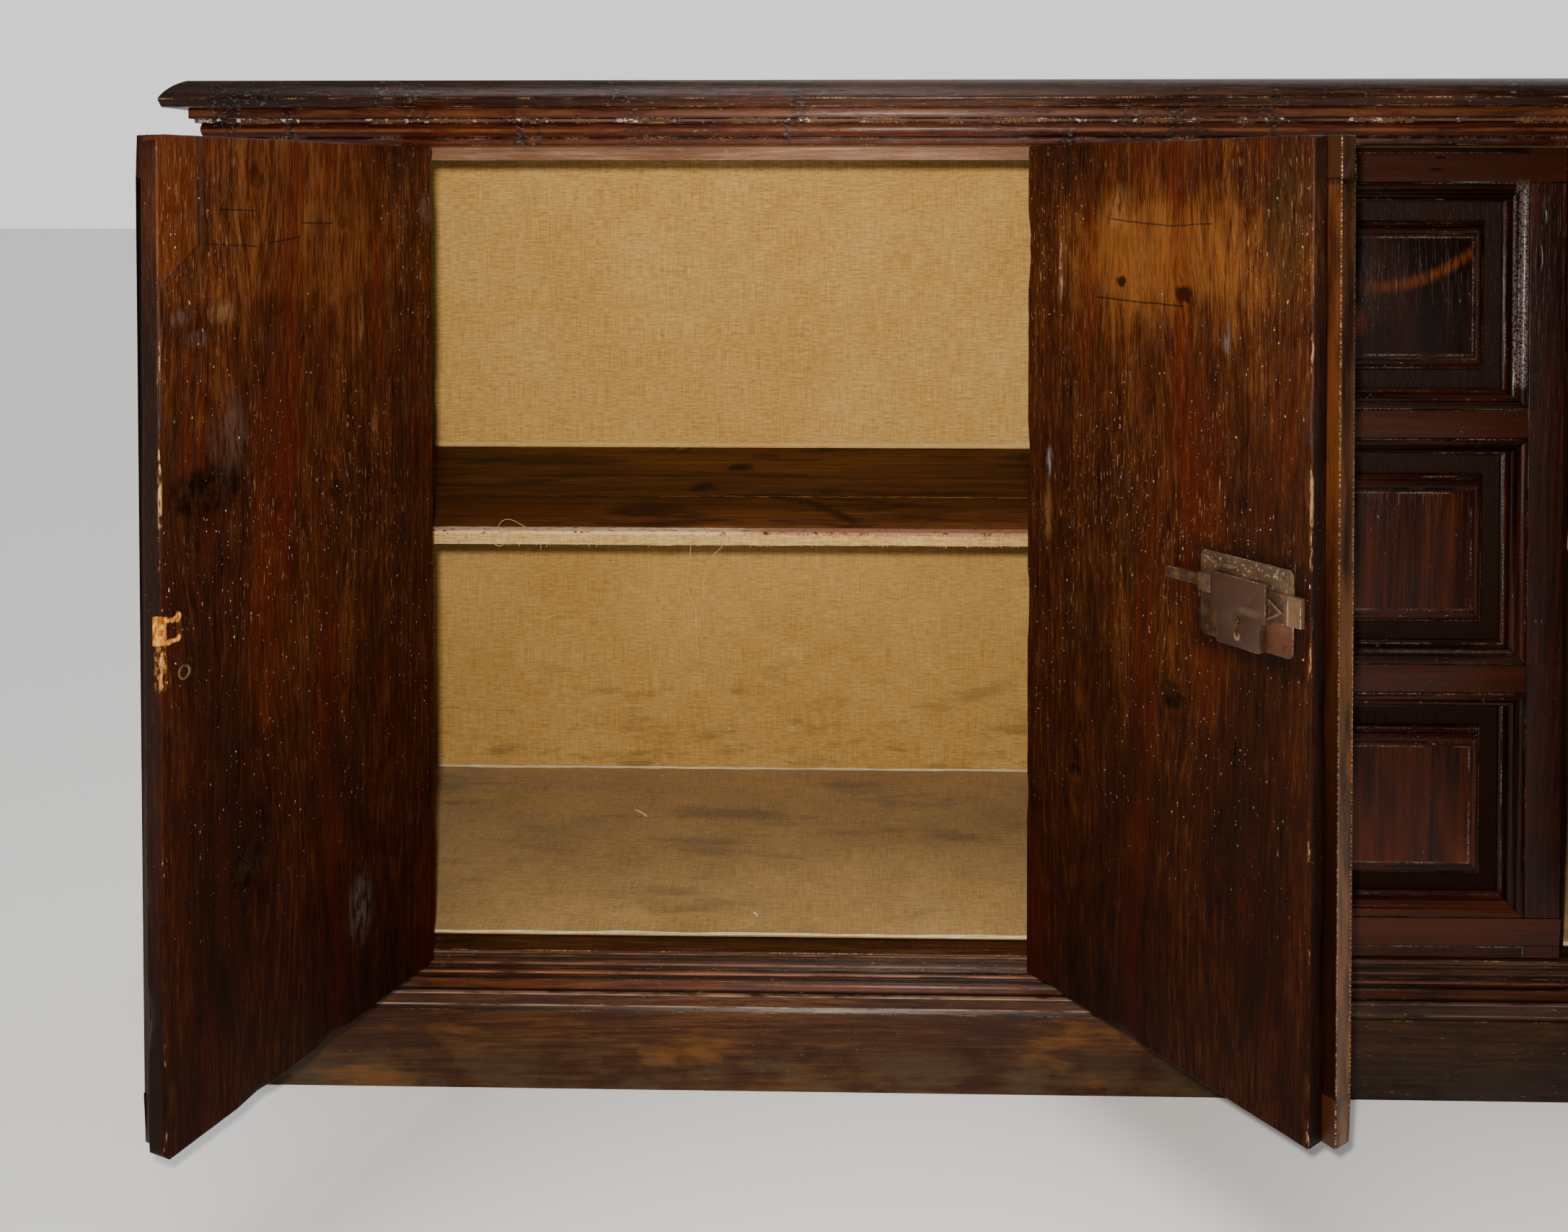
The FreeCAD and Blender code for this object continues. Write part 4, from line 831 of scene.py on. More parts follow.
def outer_paint(paint, place, low, high, streak=False, lip=None):
    """Dark, waxed wood of frames, mouldings and raised panels, each part along its own grain.

    Low and high are the corners of the box that the cells fill. Streak: the marks of door c, and a painted
    highlight on its bead. Lip: where the lip over the other door begins and ends."""
    across, deep, up = paint.split(place)
    past_x, past_z, row = cells(paint, across, up, low, high)
    in_cell = (past_x < 0.0) * (past_z < 0.0)
    beside = past_x > past_z
    on_stile = (past_x > 0.0) * (up > low.z) * (up < high.z)
    inmost = paint.most(past_x, past_z)
    field = inmost < -FIELD_INSET
    upright = paint.most(in_cell * paint.most(beside, field), on_stile)
    shifted = paint.vector("ADD", place, paint.join(row * 0.31, 0.0, row * 1.7))
    along = paint.mix_places(upright, paint.swapped(place), shifted)
    fade = field * ((1.0 - paint.math("MINIMUM", row, 2.0)) * 0.05 + 0.02)
    lower = row < 1.5

    def tint(colour):
        rail = (1.0 - upright) * (1.0 - in_cell)
        colour = paint.mix(rail * 0.4, colour, shade(66, 36, 24))
        warm = paint.rise(paint.cloud(along, (14, 14, 3), 3.0, 0.6), 0.48, 0.68)
        colour = paint.mix(warm * (0.2 + field * lower * 0.4), colour, shade(84, 36, 9))
        return paint.mix(field * (1.0 - lower) * 0.5, colour, shade(17, 11, 8))

    colour, rough, height = wood(paint, along, OUTER_TONES, (0.24, 0.5), fade=fade, tint=tint, pores=0.35)
    if streak:
        # a bright curve across the top panel, an ember of red and some nicks
        bend = (across - 0.142) * (across - 0.142)
        above = up - (0.8375 + bend * 3.9)
        flame = paint.rise(abs(above), 0.0105, 0.0) * field
        figure = paint.cloud(place, (420, 420, 40), 2.0, 0.6)
        flame = flame * paint.rise(figure, 0.3, 0.6) * paint.rise(across, 0.09, 0.2)
        colour = paint.mix(flame * 0.42, colour, shade(120, 60, 24))
        ember = paint.spot(across, up, (0.112, 0.802), (0.012, 0.014), 0.8)
        colour = paint.mix(ember * 0.5, colour, shade(128, 50, 14))
        for centre, size in NICKS:
            nick = paint.spot(across, up, centre, size, 0.4)
            colour = paint.mix(nick * 0.85, colour, SOOT)
            height -= nick
    # mitres and joints, and grime in the hollows beside the mouldings
    mitre = paint.rise(abs(past_x - past_z), 0.0009, 0.0002) * in_cell * (1.0 - field)
    joint = paint.rise(abs(past_z), 0.0007, 0.0002) * (past_x > 0.0)
    joint *= 1.0 - paint.between(up, low.z + 0.01, high.z - 0.01, 0.005)
    grime = paint.most(*[paint.rise(abs(inmost + inset), wide, 0.0) for inset, wide in GRIME_LINES])
    dark = paint.most(mitre, joint, grime * 0.8)
    colour = paint.mix(dark * 0.8, colour, SOOT)
    height -= paint.most(mitre, joint)
    colour = flecks(paint, colour, along, 0.22, (420, 420, 160), 0.68)[0]
    # painted highlights in thin broken lines along the borders of the panels and the mouldings
    ticks = paint.cloud(place, (520, 520, 520), 2.0, 0.6)
    ticks = paint.rise(ticks, 0.42, 0.58) * paint.rise(paint.cloud(place, (22, 22, 22)), 0.4, 0.6)
    dust = paint.most(*[paint.rise(abs(inmost + inset), wide, full) for inset, wide, full in HIGHLIGHT_LINES])
    colour = paint.mix(dust * ticks * 0.5, colour, shade(126, 112, 100))
    colour, rough = edge_wear(paint, colour, rough, 0.35, shade(120, 92, 66))[:2]
    height += paint.cloud(place, (150, 150, 110), 3.0, 0.6) * 0.9
    gloss = 0.13
    if streak:
        # worn, waxed gloss on the upright bead beside the top panel, and a pale painted highlight in its
        # colour
        bead = paint.between(across, high.x - 0.0145, high.x - 0.001, 0.001)
        bead *= paint.between(up, 0.735, 0.945, 0.006)
        bead *= paint.rise(paint.cloud(place, (700, 200, 420), 3.0, 0.7), 0.44, 0.54)
        colour = paint.mix(bead * 0.42, colour, shade(126, 112, 112))
        gloss = bead * 0.35 + gloss
    if lip is not None:
        edge, far = lip
        beyond = paint.rise(across, edge - 0.0002, edge + 0.0002)
        fresh = paint.cloud(place, (60, 60, 9), 3.0, 0.6)
        warmth = paint.rise(up, 0.3, 0.75) * paint.rise(fresh, 0.36, 0.6)
        colour = paint.mix(beyond * 0.45, colour, shade(58, 32, 16))
        colour = paint.mix(beyond * warmth * 0.5, colour, shade(98, 56, 26))
        outmost = paint.rise(across, far - 0.0006, far - 0.0001)
        colour = paint.mix(outmost * paint.rise(fresh, 0.3, 0.62) * 0.6, colour, shade(112, 74, 44))
        cap = beyond * paint.rise(up, 0.9405, 0.9415)
        colour = paint.mix(cap * 0.8, colour, shade(44, 28, 16))
        # dotted painted highlights along the arrises of the lip's free edge
        dots = paint.rise(paint.cloud(place, (300, 300, 620), 2.0, 0.6), 0.5, 0.58)
        rubbed = paint.most(paint.rise(deep, 0.0172, 0.0184), paint.rise(deep, 0.0018, 0.0006))
        rubbed *= paint.rise(across, far - 0.0012, far - 0.0004)
        colour = paint.mix(rubbed * dots * 0.55, colour, shade(188, 156, 118))
    return finish_paint(paint, colour, rough, height, strength=0.45, deep=0.0012, level=gloss, coat=0.02)


def door_outer_paint(door):
    """The paint of a door's outside, with its own cells, and the lip of a right-hand door."""
    paint = Paint(f"door_{door}_outside")
    low, high = closed_box(f"door_{door}_mouldings", door)
    lip = None
    if door in "bd":
        lip = [closed_box(f"door_{door}_{part}", door)[1].x for part in ("boards", "frame")]
    return outer_paint(paint, paint.door_place(door), low, high, streak=door == "c", lip=lip)


PILASTERS = {"left": -0.872, "centre": 0.0, "right": 0.872}


def pilaster_paint(name, centre):
    """The paint of one pilaster, with the cells of its own panels."""
    paint = Paint(f"pilaster_{name}")
    x, y, z = paint.split(paint.place)
    places = places_of("pilaster_panels")
    low, high = box_of([place for place in places if abs(place.x - centre) < PANEL_REACH])
    low.x -= centre
    high.x -= centre
    return outer_paint(paint, paint.join(x - centre, y, z), low, high)


# Stains of the left shelf's top: a place, a half size and how dark each is
SHELF_STAINS = (
    ((-0.5459, 0.2223), (0.012, 0.022), 0.96), ((-0.4555, 0.1121), (0.014, 0.020), 1.0),
    ((-0.4239, 0.1799), (0.020, 0.012), 0.6), ((-0.4934, 0.0078), (0.014, 0.022), 0.84),
    ((-0.7188, 0.1659), (0.08, 0.018), 0.54), ((-0.7995, 0.1389), (0.03, 0.016), 0.48),
    ((-0.5084, -0.1571), (0.035, 0.018), 0.54), ((-0.3424, 0.2250), (0.02, 0.016), 0.72),
    ((-0.5454, -0.0957), (0.04, 0.024), 0.6),
)
# A branching dark stain, the joint between the boards, and a nail
SHELF_BRANCH = ((-0.3889, -0.0431), (-0.3535, -0.0759), (-0.3071, -0.1443))
SHELF_FORK = (-0.3379, -0.0073)
SHELF_JOINT = -0.0415
SHELF_NAIL = (-0.5459, 0.2223)


def shelf_paint():
    """The shelves' two old boards: their joint, blue-black stains and bare front edge."""
    paint = Paint("old_shelf")
    place = along_axis(paint, "x")
    x, y, z = paint.split(paint.place)

    def tint(colour):
        glow = paint.cloud(paint.place, (3, 16, 3), 3.0, 0.6)
        colour = paint.mix(paint.rise(glow, 0.5, 0.68) * 0.4, colour, shade(104, 56, 16))
        murk = paint.cloud(paint.place, (5, 24, 5), 4.0, 0.65)
        return paint.mix(paint.rise(murk, 0.52, 0.64) * 0.7, colour, shade(28, 20, 19))

    colour, rough, height = wood(paint, place, SHELF_TONES, (0.5, 0.75), broken=0.6, tint=tint)
    ragged = (paint.cloud(paint.place, (70, 50, 10), 4.0, 0.6) - 0.5) * 0.03
    near_x = x + ragged
    near_y = y + ragged
    for centre, size, strength in SHELF_STAINS:
        mark = paint.spot(near_x, near_y, centre, size, 0.6)
        colour = paint.mix(mark * strength, colour, shade(24, 19, 21))
    branch = paint.most(paint.line(near_x, near_y, SHELF_BRANCH[0], SHELF_BRANCH[1], 0.009, 0.9),
                        paint.line(near_x, near_y, SHELF_BRANCH[1], SHELF_BRANCH[2], 0.009, 0.9),
                        paint.spot(near_x, near_y, SHELF_FORK, (0.016, 0.010), 0.8))
    colour = paint.mix(branch * 0.75, colour, shade(26, 20, 22))
    front_board = paint.rise(y, SHELF_JOINT + 0.001, SHELF_JOINT - 0.001)
    colour = paint.mix(front_board * 0.3, colour, shade(52, 24, 12))
    gap = paint.rise(abs(y - SHELF_JOINT), 0.0022, 0.0008)
    colour = paint.mix(gap * 0.85, colour, SOOT)
    chips = paint.cloud(paint.place, (60, 400, 60), 3.0, 0.6)
    rim = paint.rise(abs(y - (SHELF_JOINT + 0.0035)), 0.0036, 0.0016)
    colour = paint.mix(rim * paint.rise(chips + x * 0.25, 0.42, 0.5) * 0.8, colour, shade(196, 142, 84))
    front = paint.rise(y + ragged * 0.2, -0.174, -0.178)
    front *= paint.rise(paint.cloud(paint.place, (90, 300, 90), 3.0, 0.6), 0.34, 0.46)
    bare = paint.mix(paint.rise(x + ragged * 2.0, -0.47, -0.39), shade(206, 172, 136), shade(156, 112, 90))
    colour = paint.mix(front * 0.88, colour, bare)
    nail = paint.spot(x, y, SHELF_NAIL, (0.008, 0.008), 0.2)
    rough -= nail * 0.3
    colour = paint.mix(nail * 0.5, colour, shade(70, 66, 66))
    colour = flecks(paint, colour, place, 0.3, (420, 420, 120), 0.66, tone=TAN_FLECK)[0]
    return finish_paint(paint, colour, rough, height - gap, strength=0.45, level=0.05)


# Cloth, and the width of its threads and of the edging's twill
THREAD = 0.0013
TWILL = 0.003
BACK_TONES = (shade(158, 116, 54), shade(200, 156, 88), shade(226, 188, 120))
FLOOR_TONES = (shade(122, 92, 44), shade(160, 124, 66), shade(190, 152, 90))
EDGING_TONES = (shade(128, 98, 50), shade(172, 140, 84), shade(206, 178, 122))
COTTON_TONE = shade(206, 186, 146)
SHELF_TOP = 0.584


def canvas(name, tones, stain, axes=("x", "z")):
    """Plain-woven linen along two axes: uneven threads both ways and faint stains."""
    paint = Paint(name)
    parts = dict(zip("xyz", paint.split(paint.place)))
    first, second = [parts[axis] for axis in axes]
    weft = paint.noise(paint.join(first * 22.0, 0.0, second * 900.0), 3.0, 0.7)
    warp = paint.noise(paint.join(first * 900.0, 4.0, second * 22.0), 3.0, 0.7)
    slub = paint.noise(paint.join(first * 90.0, 0.0, second * 420.0), 2.0, 0.6)
    cloud = paint.cloud(paint.place, (7, 7, 7), 4.0, 0.6)
    level = weft * 0.38 + warp * 0.34 + slub * 0.28 + (cloud - 0.5) * (0.12 * stain)
    colour = paint.ramp(level, (0.38, tones[0]), (0.5, tones[1]), (0.62, tones[2]))
    dark = paint.cloud(paint.place, (140, 140, 90), 2.0, 0.5)
    colour = paint.mix(paint.rise(dark, 0.68, 0.74) * 0.45, colour, tones[0])
    return paint, colour, level, (first, second)


def finish_cloth(paint, colour, level, ways):
    """Puts the colour and the weave on the shader. Ways: the places along the weft and the warp."""
    weft, warp = [paint.math("SINE", way * (2 * math.pi / THREAD)) for way in ways]
    relief = paint.node("Bump", Strength=0.5, Distance=0.0006, Height=level + weft * warp * 0.25)
    paint.set(paint.shader, Base_Color=colour, Roughness=0.92, Specular_IOR_Level=0.15, Sheen_Weight=0.12,
              Normal=relief.outputs[0])
    return paint.material


def node_boxes(node):
    """The boxes of a node's left and right halves."""
    places = places_of(node)
    return {name: box_of([place for place in places if place.x * hand > 0])
            for name, hand in (("left", -1), ("right", 1))}


def grid_mesh(name, columns, rows, place):
    """A sheet of quads, with each corner put where place says, from shares across and up."""
    corners = [place(i / columns, j / rows) for j in range(rows + 1) for i in range(columns + 1)]
    faces = []
    for j in range(rows):
        for i in range(columns):
            start = j * (columns + 1) + i
            faces.append((start, start + 1, start + columns + 2, start + columns + 1))
    mesh = bpy.data.meshes.new(name)
    mesh.from_pydata(corners, [], faces)
    mesh.shade_smooth()
    return mesh


def strand(name, paths, radius, material):
    """Thin threads along smooth curves, as one piece of the carcass."""
    data = bpy.data.curves.new(name, "CURVE")
    data.dimensions = "3D"
    data.bevel_depth = radius
    data.bevel_resolution = 1
    data.resolution_u = 6
    for path in paths:
        spline = data.splines.new("NURBS")
        spline.points.add(len(path) - 1)
        for point, place in zip(spline.points, path):
            point.co = (*place, 1)
        spline.order_u = 3
        spline.use_endpoint_u = True
    piece = link(name, data, "carcass", material)
    return piece


# How far a hem's thread wanders, and in how many steps it runs
WANDER = 0.0007
SEAM_STEPS = 40


def seam_path(rng, low, high, y, z):
    """A thread straight across from low to high that wanders a little."""
    path = []
    for index in range(SEAM_STEPS + 1):
        x = low.x + (high.x - low.x) * index / SEAM_STEPS
        path.append((x, y + rng.uniform(-WANDER, WANDER), z + rng.uniform(-WANDER, WANDER)))
    return path


def fuzz_paths(rng, low, high, y, z, count, length, forward, upward):
    """Short loose fibres that stick out of an edge."""
    paths = []
    for _ in range(count):
        start = Vector((rng.uniform(low.x, high.x), y, z))
        size = length * rng.uniform(0.4, 1.0)
        lean = rng.uniform(-0.8, 0.8) * size
        rise = rng.uniform(0.2, 1.0) * upward * size
        middle = start + Vector((lean * 0.5, forward * size * 0.3, rise * 0.5))
        end = start + Vector((lean, forward * size * 0.45, rise))
        paths.append([start, middle, end])
    return paths


def swell(seed, x, y=0.0, z=0.0):
    """Smooth noise, at a place of one's own for each seed."""
    return noise.noise(Vector((x, y, z)) + seed)


def lining_paints():
    """The cloth of the back linings, that of the floor linings, and the cotton of their hems."""
    paint, colour, level, ways = canvas("back_canvas", BACK_TONES, 1.0)
    x, y, z = paint.split(paint.place)
    # painted shade on the back cloth below the shelf
    colour = paint.mix(paint.rise(z, 0.56, 0.54) * 0.3, colour, shade(128, 98, 52))
    hem = paint.between(z, SHELF_TOP + 0.0015, SHELF_TOP + 0.0055, 0.0006)
    colour = paint.mix(hem * 0.4, colour, shade(226, 196, 140))
    fold = paint.line(x, z, (-0.922, 0.779), (-0.542, 0.779), 0.006, 0.95)
    cloud = paint.cloud(paint.place, (30, 30, 60), 3.0, 0.6)
    colour = paint.mix(fold * cloud * 0.5, colour, shade(190, 140, 66))
    dirt = paint.rise(paint.cloud(paint.place, (9, 9, 34), 4.0, 0.65), 0.5, 0.7) * paint.rise(z, 0.34, 0.2)
    colour = paint.mix(dirt * 0.5, colour, shade(96, 76, 44))
    back_cloth = finish_cloth(paint, colour, level, ways)
    paint, colour, level, ways = canvas("floor_canvas", FLOOR_TONES, 1.8, axes=("x", "y"))
    smudge = paint.cloud(paint.place, (5, 20, 1), 4.0, 0.6)
    colour = paint.mix(paint.rise(smudge, 0.52, 0.68) * 0.5, colour, shade(88, 70, 42))
    floor_cloth = finish_cloth(paint, colour, level, ways)
    cotton = finish_cloth(*canvas("cotton_edge", (COTTON_TONE, COTTON_TONE, shade(240, 232, 214)), 0.5))
    return back_cloth, floor_cloth, cotton


# Places from a lining's low corner, back from its front edge and up, of the hems' threads
BACK_HEM = ((-0.0006, 0.001), (-0.0014, 0.0002))
FLOOR_HEM = ((0.0032, 0.0014), (0.0050, 0.0016), (0.0068, 0.0014))
# Two bits of lint on the left floor: x, y and how high above the foot of the lining
LINT = (((-0.5895, 0.0885, 0.004), (-0.582, 0.080, 0.0055), (-0.5735, 0.071, 0.004)),
        ((-0.4185, -0.174, 0.003), (-0.416, -0.178, 0.004), (-0.4145, -0.181, 0.003)))
LINING_SEEDS = {"left": Vector((3.0, 0, 0)), "right": Vector((9.0, 0, 0))}


def make_linings():
    """The linings of both compartments. Gives back the cotton of their hems."""
    rng = random.Random(41)
    back_cloth, floor_cloth, cotton = lining_paints()
    backs = node_boxes("back_linings")
    floors = node_boxes("floor_linings")
    for name, seed in LINING_SEEDS.items():
        low, high = backs[name]

        def hang(across, up):
            x = low.x + (high.x - low.x) * across
            z = low.z + (high.z - low.z) * up
            clear = min(1.0, abs(z - SHELF_TOP + 0.008) / 0.04)
            clear *= min(1.0, (1 - up) * 12, across * 12, (1 - across) * 12)
            wave = 0.5 + 0.5 * swell(seed, x * 4, z * 6) + 0.2 * swell(seed, x * 12, z * 20, 2)
            return x, high.y - 0.0006 - 0.0016 * clear * max(0.0, wave), z

        mesh = grid_mesh(f"back_lining_{name}", 110, 100, hang)
        cloth = link(f"back_lining_{name}", mesh, "carcass", back_cloth)
        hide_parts("back_linings")
        threads = [seam_path(rng, low, high, low.y + back, floors[name][1].z + up) for back, up in BACK_HEM]
        seam = strand(f"back_hem_{name}", threads, 0.0012, cotton)
        low, high = floors[name]

        def lay(across, up):
            x = low.x + (high.x - low.x) * across
            y = low.y + (high.y - low.y) * up
            clear = min(1.0, across * 10, (1 - across) * 10, up * 8 + 0.15, (1 - up) * 8)
            wave = swell(seed, x * 4, y * 10) + 0.4 * swell(seed, x * 11, y * 24, 5)
            return x, y, low.z + 0.0012 + 0.0035 * clear * max(0.0, wave)

        mesh = grid_mesh(f"floor_lining_{name}", 110, 60, lay)
        cloth = link(f"floor_lining_{name}", mesh, "carcass", floor_cloth)
        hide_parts("floor_linings")
        threads = [seam_path(rng, low, high, low.y + back, low.z + up) for back, up in FLOOR_HEM]
        pieces = [strand(f"floor_hem_{name}", threads, 0.0007, cotton)]
        if name == "left":
            lint = [[(x, y, low.z + up) for x, y, up in path] for path in LINT]
            pieces.append(strand("lint", lint, 0.0013, cotton))
    return cotton


# How far the strip stands above the foot of its CAD solid, and how much of the shelf it leaves bare
EDGING_LIFT = 0.0012
EDGING_BARE = 0.0034
EDGING_SEEDS = {"left": Vector((2.0, 1, 0)), "right": Vector((6.0, 1, 0))}
# Loose threads of the left shelf's edging: a loop at the left, and those that hang in the middle
LOOSE_THREADS = [
    [(-0.6628, -0.1970, 0.5677), (-0.6717, -0.1995, 0.5748), (-0.6843, -0.2015, 0.5812),
     (-0.6932, -0.2020, 0.5769), (-0.6958, -0.2015, 0.5687), (-0.6954, -0.2010, 0.5659),
     (-0.6895, -0.2005, 0.5659), (-0.6808, -0.2010, 0.5669), (-0.6844, -0.2020, 0.5605),
     (-0.6872, -0.2020, 0.5543), (-0.6927, -0.2025, 0.5500), (-0.6994, -0.2025, 0.5525),
     (-0.7030, -0.2020, 0.5589), (-0.7001, -0.2015, 0.5625), (-0.6933, -0.2010, 0.5654),
     (-0.6789, -0.1990, 0.5669)],
    [(-0.6492, -0.2010, 0.5587), (-0.6489, -0.2015, 0.5532), (-0.6485, -0.2015, 0.5473)],
    [(-0.4848, -0.2000, 0.5540), (-0.4855, -0.2020, 0.5450), (-0.4870, -0.2030, 0.5330),
     (-0.4885, -0.2035, 0.5190), (-0.4900, -0.2035, 0.5090), (-0.4865, -0.2030, 0.4990),
     (-0.4815, -0.2035, 0.4890), (-0.4790, -0.2035, 0.4800), (-0.4795, -0.2030, 0.4620),
     (-0.4785, -0.2035, 0.4480), (-0.4770, -0.2035, 0.4380), (-0.4750, -0.2035, 0.4310)],
    [(-0.4480, -0.2000, 0.5545), (-0.4520, -0.2020, 0.5500), (-0.4580, -0.2030, 0.5450),
     (-0.4655, -0.2035, 0.5370), (-0.4690, -0.2035, 0.5250), (-0.4710, -0.2030, 0.5120),
     (-0.4720, -0.2035, 0.5000), (-0.4705, -0.2035, 0.4940)],
]


def make_edgings(cotton):
    """The canvas strip on each shelf's front edge, frayed along the top, with its loose threads."""
    rng = random.Random(7)
    paint, colour, level, ways = canvas("edging_canvas", EDGING_TONES, 0.8)
    x, y, z = paint.split(paint.place)
    twill = paint.math("SINE", (x + z) * (2 * math.pi / TWILL))
    colour = paint.mix(paint.rise(twill, 0.2, 0.9) * 0.3, colour, EDGING_TONES[0])
    edging_cloth = finish_cloth(paint, colour, level, ways)
    for name, (low, high) in node_boxes("shelf_edgings").items():
        seed = EDGING_SEEDS[name]
        foot = low.z + EDGING_LIFT
        reach = high.z - foot - EDGING_BARE

        def wrap(across, up):
            x = low.x + (high.x - low.x) * across
            droop = 0.0034 * swell(seed, x * 9, 3) + 0.0016 * swell(seed, x * 30, 3)
            rough_top = 0.0022 * swell(seed, x * 14, 8) + 0.0008 * swell(seed, x * 160)
            ripple = 0.0006 * swell(seed, x * 40, up * 2, 5)
            return x, low.y + 0.0008 + ripple, foot + droop * (1 - up) + rough_top * up + reach * up

        mesh = grid_mesh(f"shelf_edging_{name}", 400, 14, wrap)
        cloth = link(f"shelf_edging_{name}", mesh, "carcass", edging_cloth)
        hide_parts("shelf_edgings")
        fuzz = fuzz_paths(rng, low, high, low.y + 0.0008, foot + reach, 420, 0.005, 0.1, 0.6)
        fuzz += fuzz_paths(rng, low, high, low.y + 0.0004, foot + 0.0006, 160, 0.004, -0.3, -1)
        pieces = [strand(f"shelf_fray_{name}", fuzz, 0.00014, cotton)]
        if name == "left":
            pieces.append(strand("shelf_threads", LOOSE_THREADS, 0.0003, edging_cloth))


# Iron. Places are on the closed door, from its hinge.
LOCK_EDGE = 0.340
KEYHOLE = (LOCK_EDGE - 0.0672, 0.5671)


def iron_paint(name, door, bright=0.0):
    """Old wrought iron: a smooth brown skin, dust and rubbed edges."""
    paint = Paint(name)
    place = paint.door_place(door) if door else paint.place
    across, deep, up = paint.split(place)
    cloud = paint.cloud(place, (45, 45, 45), 3.0, 0.6)
    fine = paint.cloud(place, (700, 700, 700), 3.0, 0.6)
    level = cloud * 0.7 + fine * 0.3 + bright
    colour = paint.ramp(level, (0.3, shade(34, 23, 16)), (0.5, shade(62, 44, 32)), (0.7, shade(100, 78, 58)))
    rust = paint.cloud(place, (90, 90, 90), 3.0, 0.6)
    colour = paint.mix(paint.rise(rust, 0.55, 0.68) * 0.35, colour, shade(104, 56, 26))
    rough = 0.42 + fine * 0.2
    if name.startswith("lock_iron"):
        colour = lock_marks(paint, colour, across, deep, up)
    if name.startswith("bolt_iron"):
        clip = paint.rise(abs(across - (LOCK_EDGE - 0.017)), 0.0011, 0.0004)
        clip *= paint.between(up, 0.5741, 0.5941, 0.0005)
        colour = paint.mix(clip * 0.5, colour, shade(160, 140, 112))
        beyond = paint.rise(across, LOCK_EDGE - 0.017, LOCK_EDGE - 0.016)
        colour = paint.mix(beyond * 0.35, colour, shade(112, 84, 56))
    colour, rough = edge_wear(paint, colour, rough, 0.8, shade(184, 164, 132))[:2]
    paint.set(paint.shader, Metallic=0.35)
    return finish_paint(paint, colour, rough, fine * 0.5, strength=0.2, deep=0.0006, level=0.4)


def lock_marks(paint, colour, across, deep, up):
    """What a lock's plate and case show: the smooth case, dust on the plate, rust and the keyhole's rim."""
    case = paint.rise(deep, 0.0485, 0.0492) * paint.rise(across, LOCK_EDGE - 0.095, LOCK_EDGE - 0.094)
    smooth = paint.cloud(paint.place, (20, 20, 20), 3.0, 0.5)
    colour = paint.mix(case * 0.85, colour, paint.mix(smooth, shade(46, 31, 24), shade(72, 51, 40)))
    sheet = paint.rise(deep, 0.0445, 0.0415)
    dusty = paint.rise(up, 0.59, 0.605) * sheet
    colour = paint.mix(dusty * 0.45, colour, shade(88, 70, 52))
    grit = paint.cloud(paint.place, (260, 260, 260), 3.0, 0.6)
    colour = paint.mix(dusty * paint.rise(grit, 0.58, 0.66) * 0.7, colour, shade(150, 138, 120))
    red = paint.spot(across, up, (LOCK_EDGE - 0.0295, 0.5576), (0.016, 0.014), 0.5) * sheet
    colour = paint.mix(red * 0.5, colour, shade(94, 50, 30))
    rim = paint.spot(across, up, KEYHOLE, (0.0040, 0.0040), 0.12)
    rim -= paint.spot(across, up, KEYHOLE, (0.0029, 0.0029), 0.12)
    colour = paint.mix(rim * case * 0.8, colour, shade(24, 15, 11))
    flare = paint.spot(across, up, (KEYHOLE[0] + 0.0008, 0.5531), (0.0032, 0.0036), 0.25) * case
    colour = paint.mix(flare * 0.7, colour, shade(124, 102, 78))
    rub = paint.spot(across, up, (LOCK_EDGE - 0.054, 0.5766), (0.01, 0.003), 0.8) * case
    return paint.mix(rub * 0.35, colour, shade(110, 88, 68))


# A screw's ring: its middle on the closed door, its radius, its wire's half sizes and its faces
SCREW_PLACE = (0.3236, DOOR_INNER_FACE, 0.5367)
SCREW_RADIUS = 0.0054
SCREW_WIRE = (0.0012, 0.0009)
SCREW_TURNS = 24
SCREW_SIDES = 8


def make_screw():
    """The ring of a screw hole in the boards of door a."""
    mesh = bmesh.new()
    rings = []
    for turn in range(SCREW_TURNS):
        angle = 2 * math.pi * turn / SCREW_TURNS
        ring = []
        for step in range(SCREW_SIDES):
            lean = 2 * math.pi * step / SCREW_SIDES
            radius = SCREW_RADIUS + SCREW_WIRE[0] * math.cos(lean)
            x = SCREW_PLACE[0] + radius * math.cos(angle)
            y = SCREW_PLACE[1] + SCREW_WIRE[1] * math.sin(lean)
            z = SCREW_PLACE[2] + radius * math.sin(angle)
            ring.append(mesh.verts.new(opened((x, y, z), "a")))
        rings.append(ring)
    for turn, ring in enumerate(rings):
        after = rings[(turn + 1) % SCREW_TURNS]
        for step in range(SCREW_SIDES):
            beside = (step + 1) % SCREW_SIDES
            mesh.faces.new((ring[step], ring[beside], after[beside], after[step]))
    bmesh.ops.recalc_face_normals(mesh, faces=mesh.faces)
    ring = link("screw_ring", mesh_data("screw_ring", mesh), "door_a", iron_paint("screw_iron", "a", 0.12))


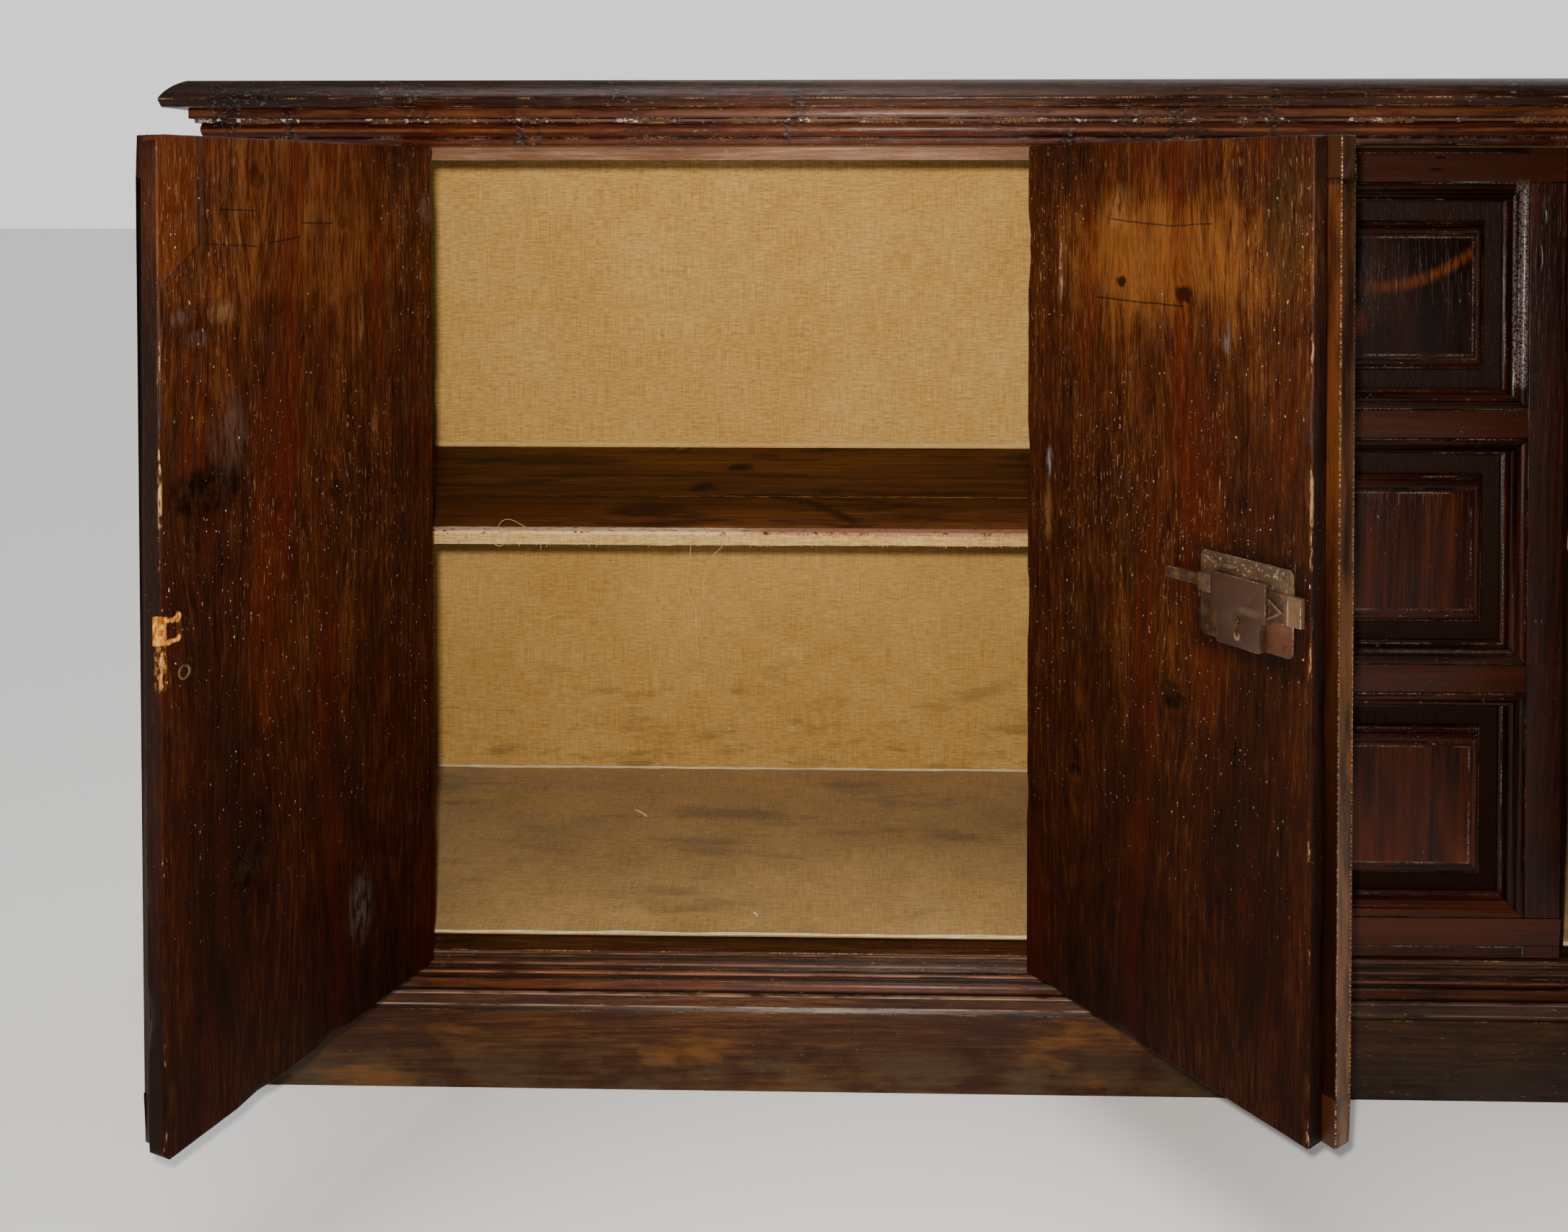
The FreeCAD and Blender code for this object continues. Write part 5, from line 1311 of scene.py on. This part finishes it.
def make_torn_lip():
    """The curled lip of torn iron over the slit near the top of each lock's plate."""
    for door, name in (("b", "left"), ("d", "right")):
        low, high = closed_box(f"lock_{name}_plate", door)
        start = Vector((low.x + 0.008, 0.0402, high.z - 0.0070))

        def place(across, up):
            wide = math.sin(across * math.pi) ** 0.7
            x = start.x + 0.034 * across
            z = start.z - 0.0015 * across - 0.0040 * up * wide
            y = start.y + 0.0026 * up * wide
            return opened((x, y, z), door)

        mesh = grid_mesh(f"torn_lip_{name}", 16, 4, place)
        piece = link(f"torn_lip_{name}", mesh, "door_" + door, iron_paint(f"torn_iron_{name}", door, 0.16))
        piece.modifiers.new("thick", "SOLIDIFY").thickness = 0.0007


make_camera()
make_stage()

slab = plain_wood("old_slab", "x", SLAB_TONES, gloss=(0.2, 0.4), coat=0.06, strength=0.7, crazed=True)
ends = {"x": "along", "y": "end"}
cornices = {axis: plain_wood(f"old_cornice_{name}", axis, CORNICE_TONES, gloss=(0.28, 0.5), coat=0.03,
                             lines=CORNICE_LINES, crazed=True) for axis, name in ends.items()}
bases = {axis: plain_wood(f"old_base_{name}", axis, BASE_TONES, gloss=(0.28, 0.5), coat=0.05,
                          lines=BASE_LINES, shaded_right=axis == "x") for axis, name in ends.items()}
plinths = {axis: plain_wood(f"old_plinth_{name}", axis, PLINTH_TONES, wear=0.3, dusty=True,
                            shaded_right=axis == "x") for axis, name in ends.items()}
rail = plain_wood("old_rail", "x", RAIL_TONES, wear=0.3)
shelf = shelf_paint()
side = plain_wood("old_side", "z", PLINTH_TONES, wear=0.4)
pine = plain_wood("old_pine", "z", PINE_TONES, wear=0.2)
outer = {name: pilaster_paint(name, centre) for name, centre in PILASTERS.items()}
woods = {
    "top_slab": slab, "base_rail": bases["x"], "bottom_board": shelf, "top_rail": rail,
    "shelf_left": shelf, "shelf_right": shelf, "shelf_cleats": shelf,
    "side_left": side, "side_right": side, "centre_partition": side,
    "stile_left": side, "stile_centre": side, "stile_right": side,
    "plinth_bearer": pine, "back_boards": pine,
}
for part, paints in (("cornice", cornices), ("base_moulding", bases), ("plinth", plinths)):
    for place, axis in (("front", "x"), ("left", "y"), ("right", "y")):
        woods[f"{part}_{place}"] = paints[axis]
for name in PILASTERS:
    woods[f"pilaster_{name}"] = outer[name]
for node, material in woods.items():
    softened(node, material)
for name, centre in PILASTERS.items():
    softened("pilaster_panels", outer[name], near=centre, name=f"pilaster_panels_{name}")
for door in DOORS:
    worn_board(door, board_paint(door), 0.009 if door == "a" else 0.004)
    outside = door_outer_paint(door)
    for part in ("frame", "mouldings", "panels"):
        softened(f"door_{door}_{part}", outside)
cotton = make_linings()
make_edgings(cotton)
for name, door in (("left", "b"), ("right", "d")):
    softened(f"lock_{name}_plate", iron_paint(f"lock_iron_{name}", door), 0.0005)
    softened(f"lock_{name}_bolt", iron_paint(f"bolt_iron_{name}", door, 0.03), 0.0005)
    softened(f"lock_{name}_spring", iron_paint(f"spring_iron_{name}", door, 0.16), 0.0004)
hinge_iron = iron_paint("hinge_iron", None, -0.08)
for node in ["hinge_fixed_leaves", "hinge_pins"] + [f"door_{door}_hinge_leaves" for door in DOORS]:
    for own_slot in frame["nodes"][node].material_slots:
        own_slot.material = hinge_iron
make_screw()
make_torn_lip()
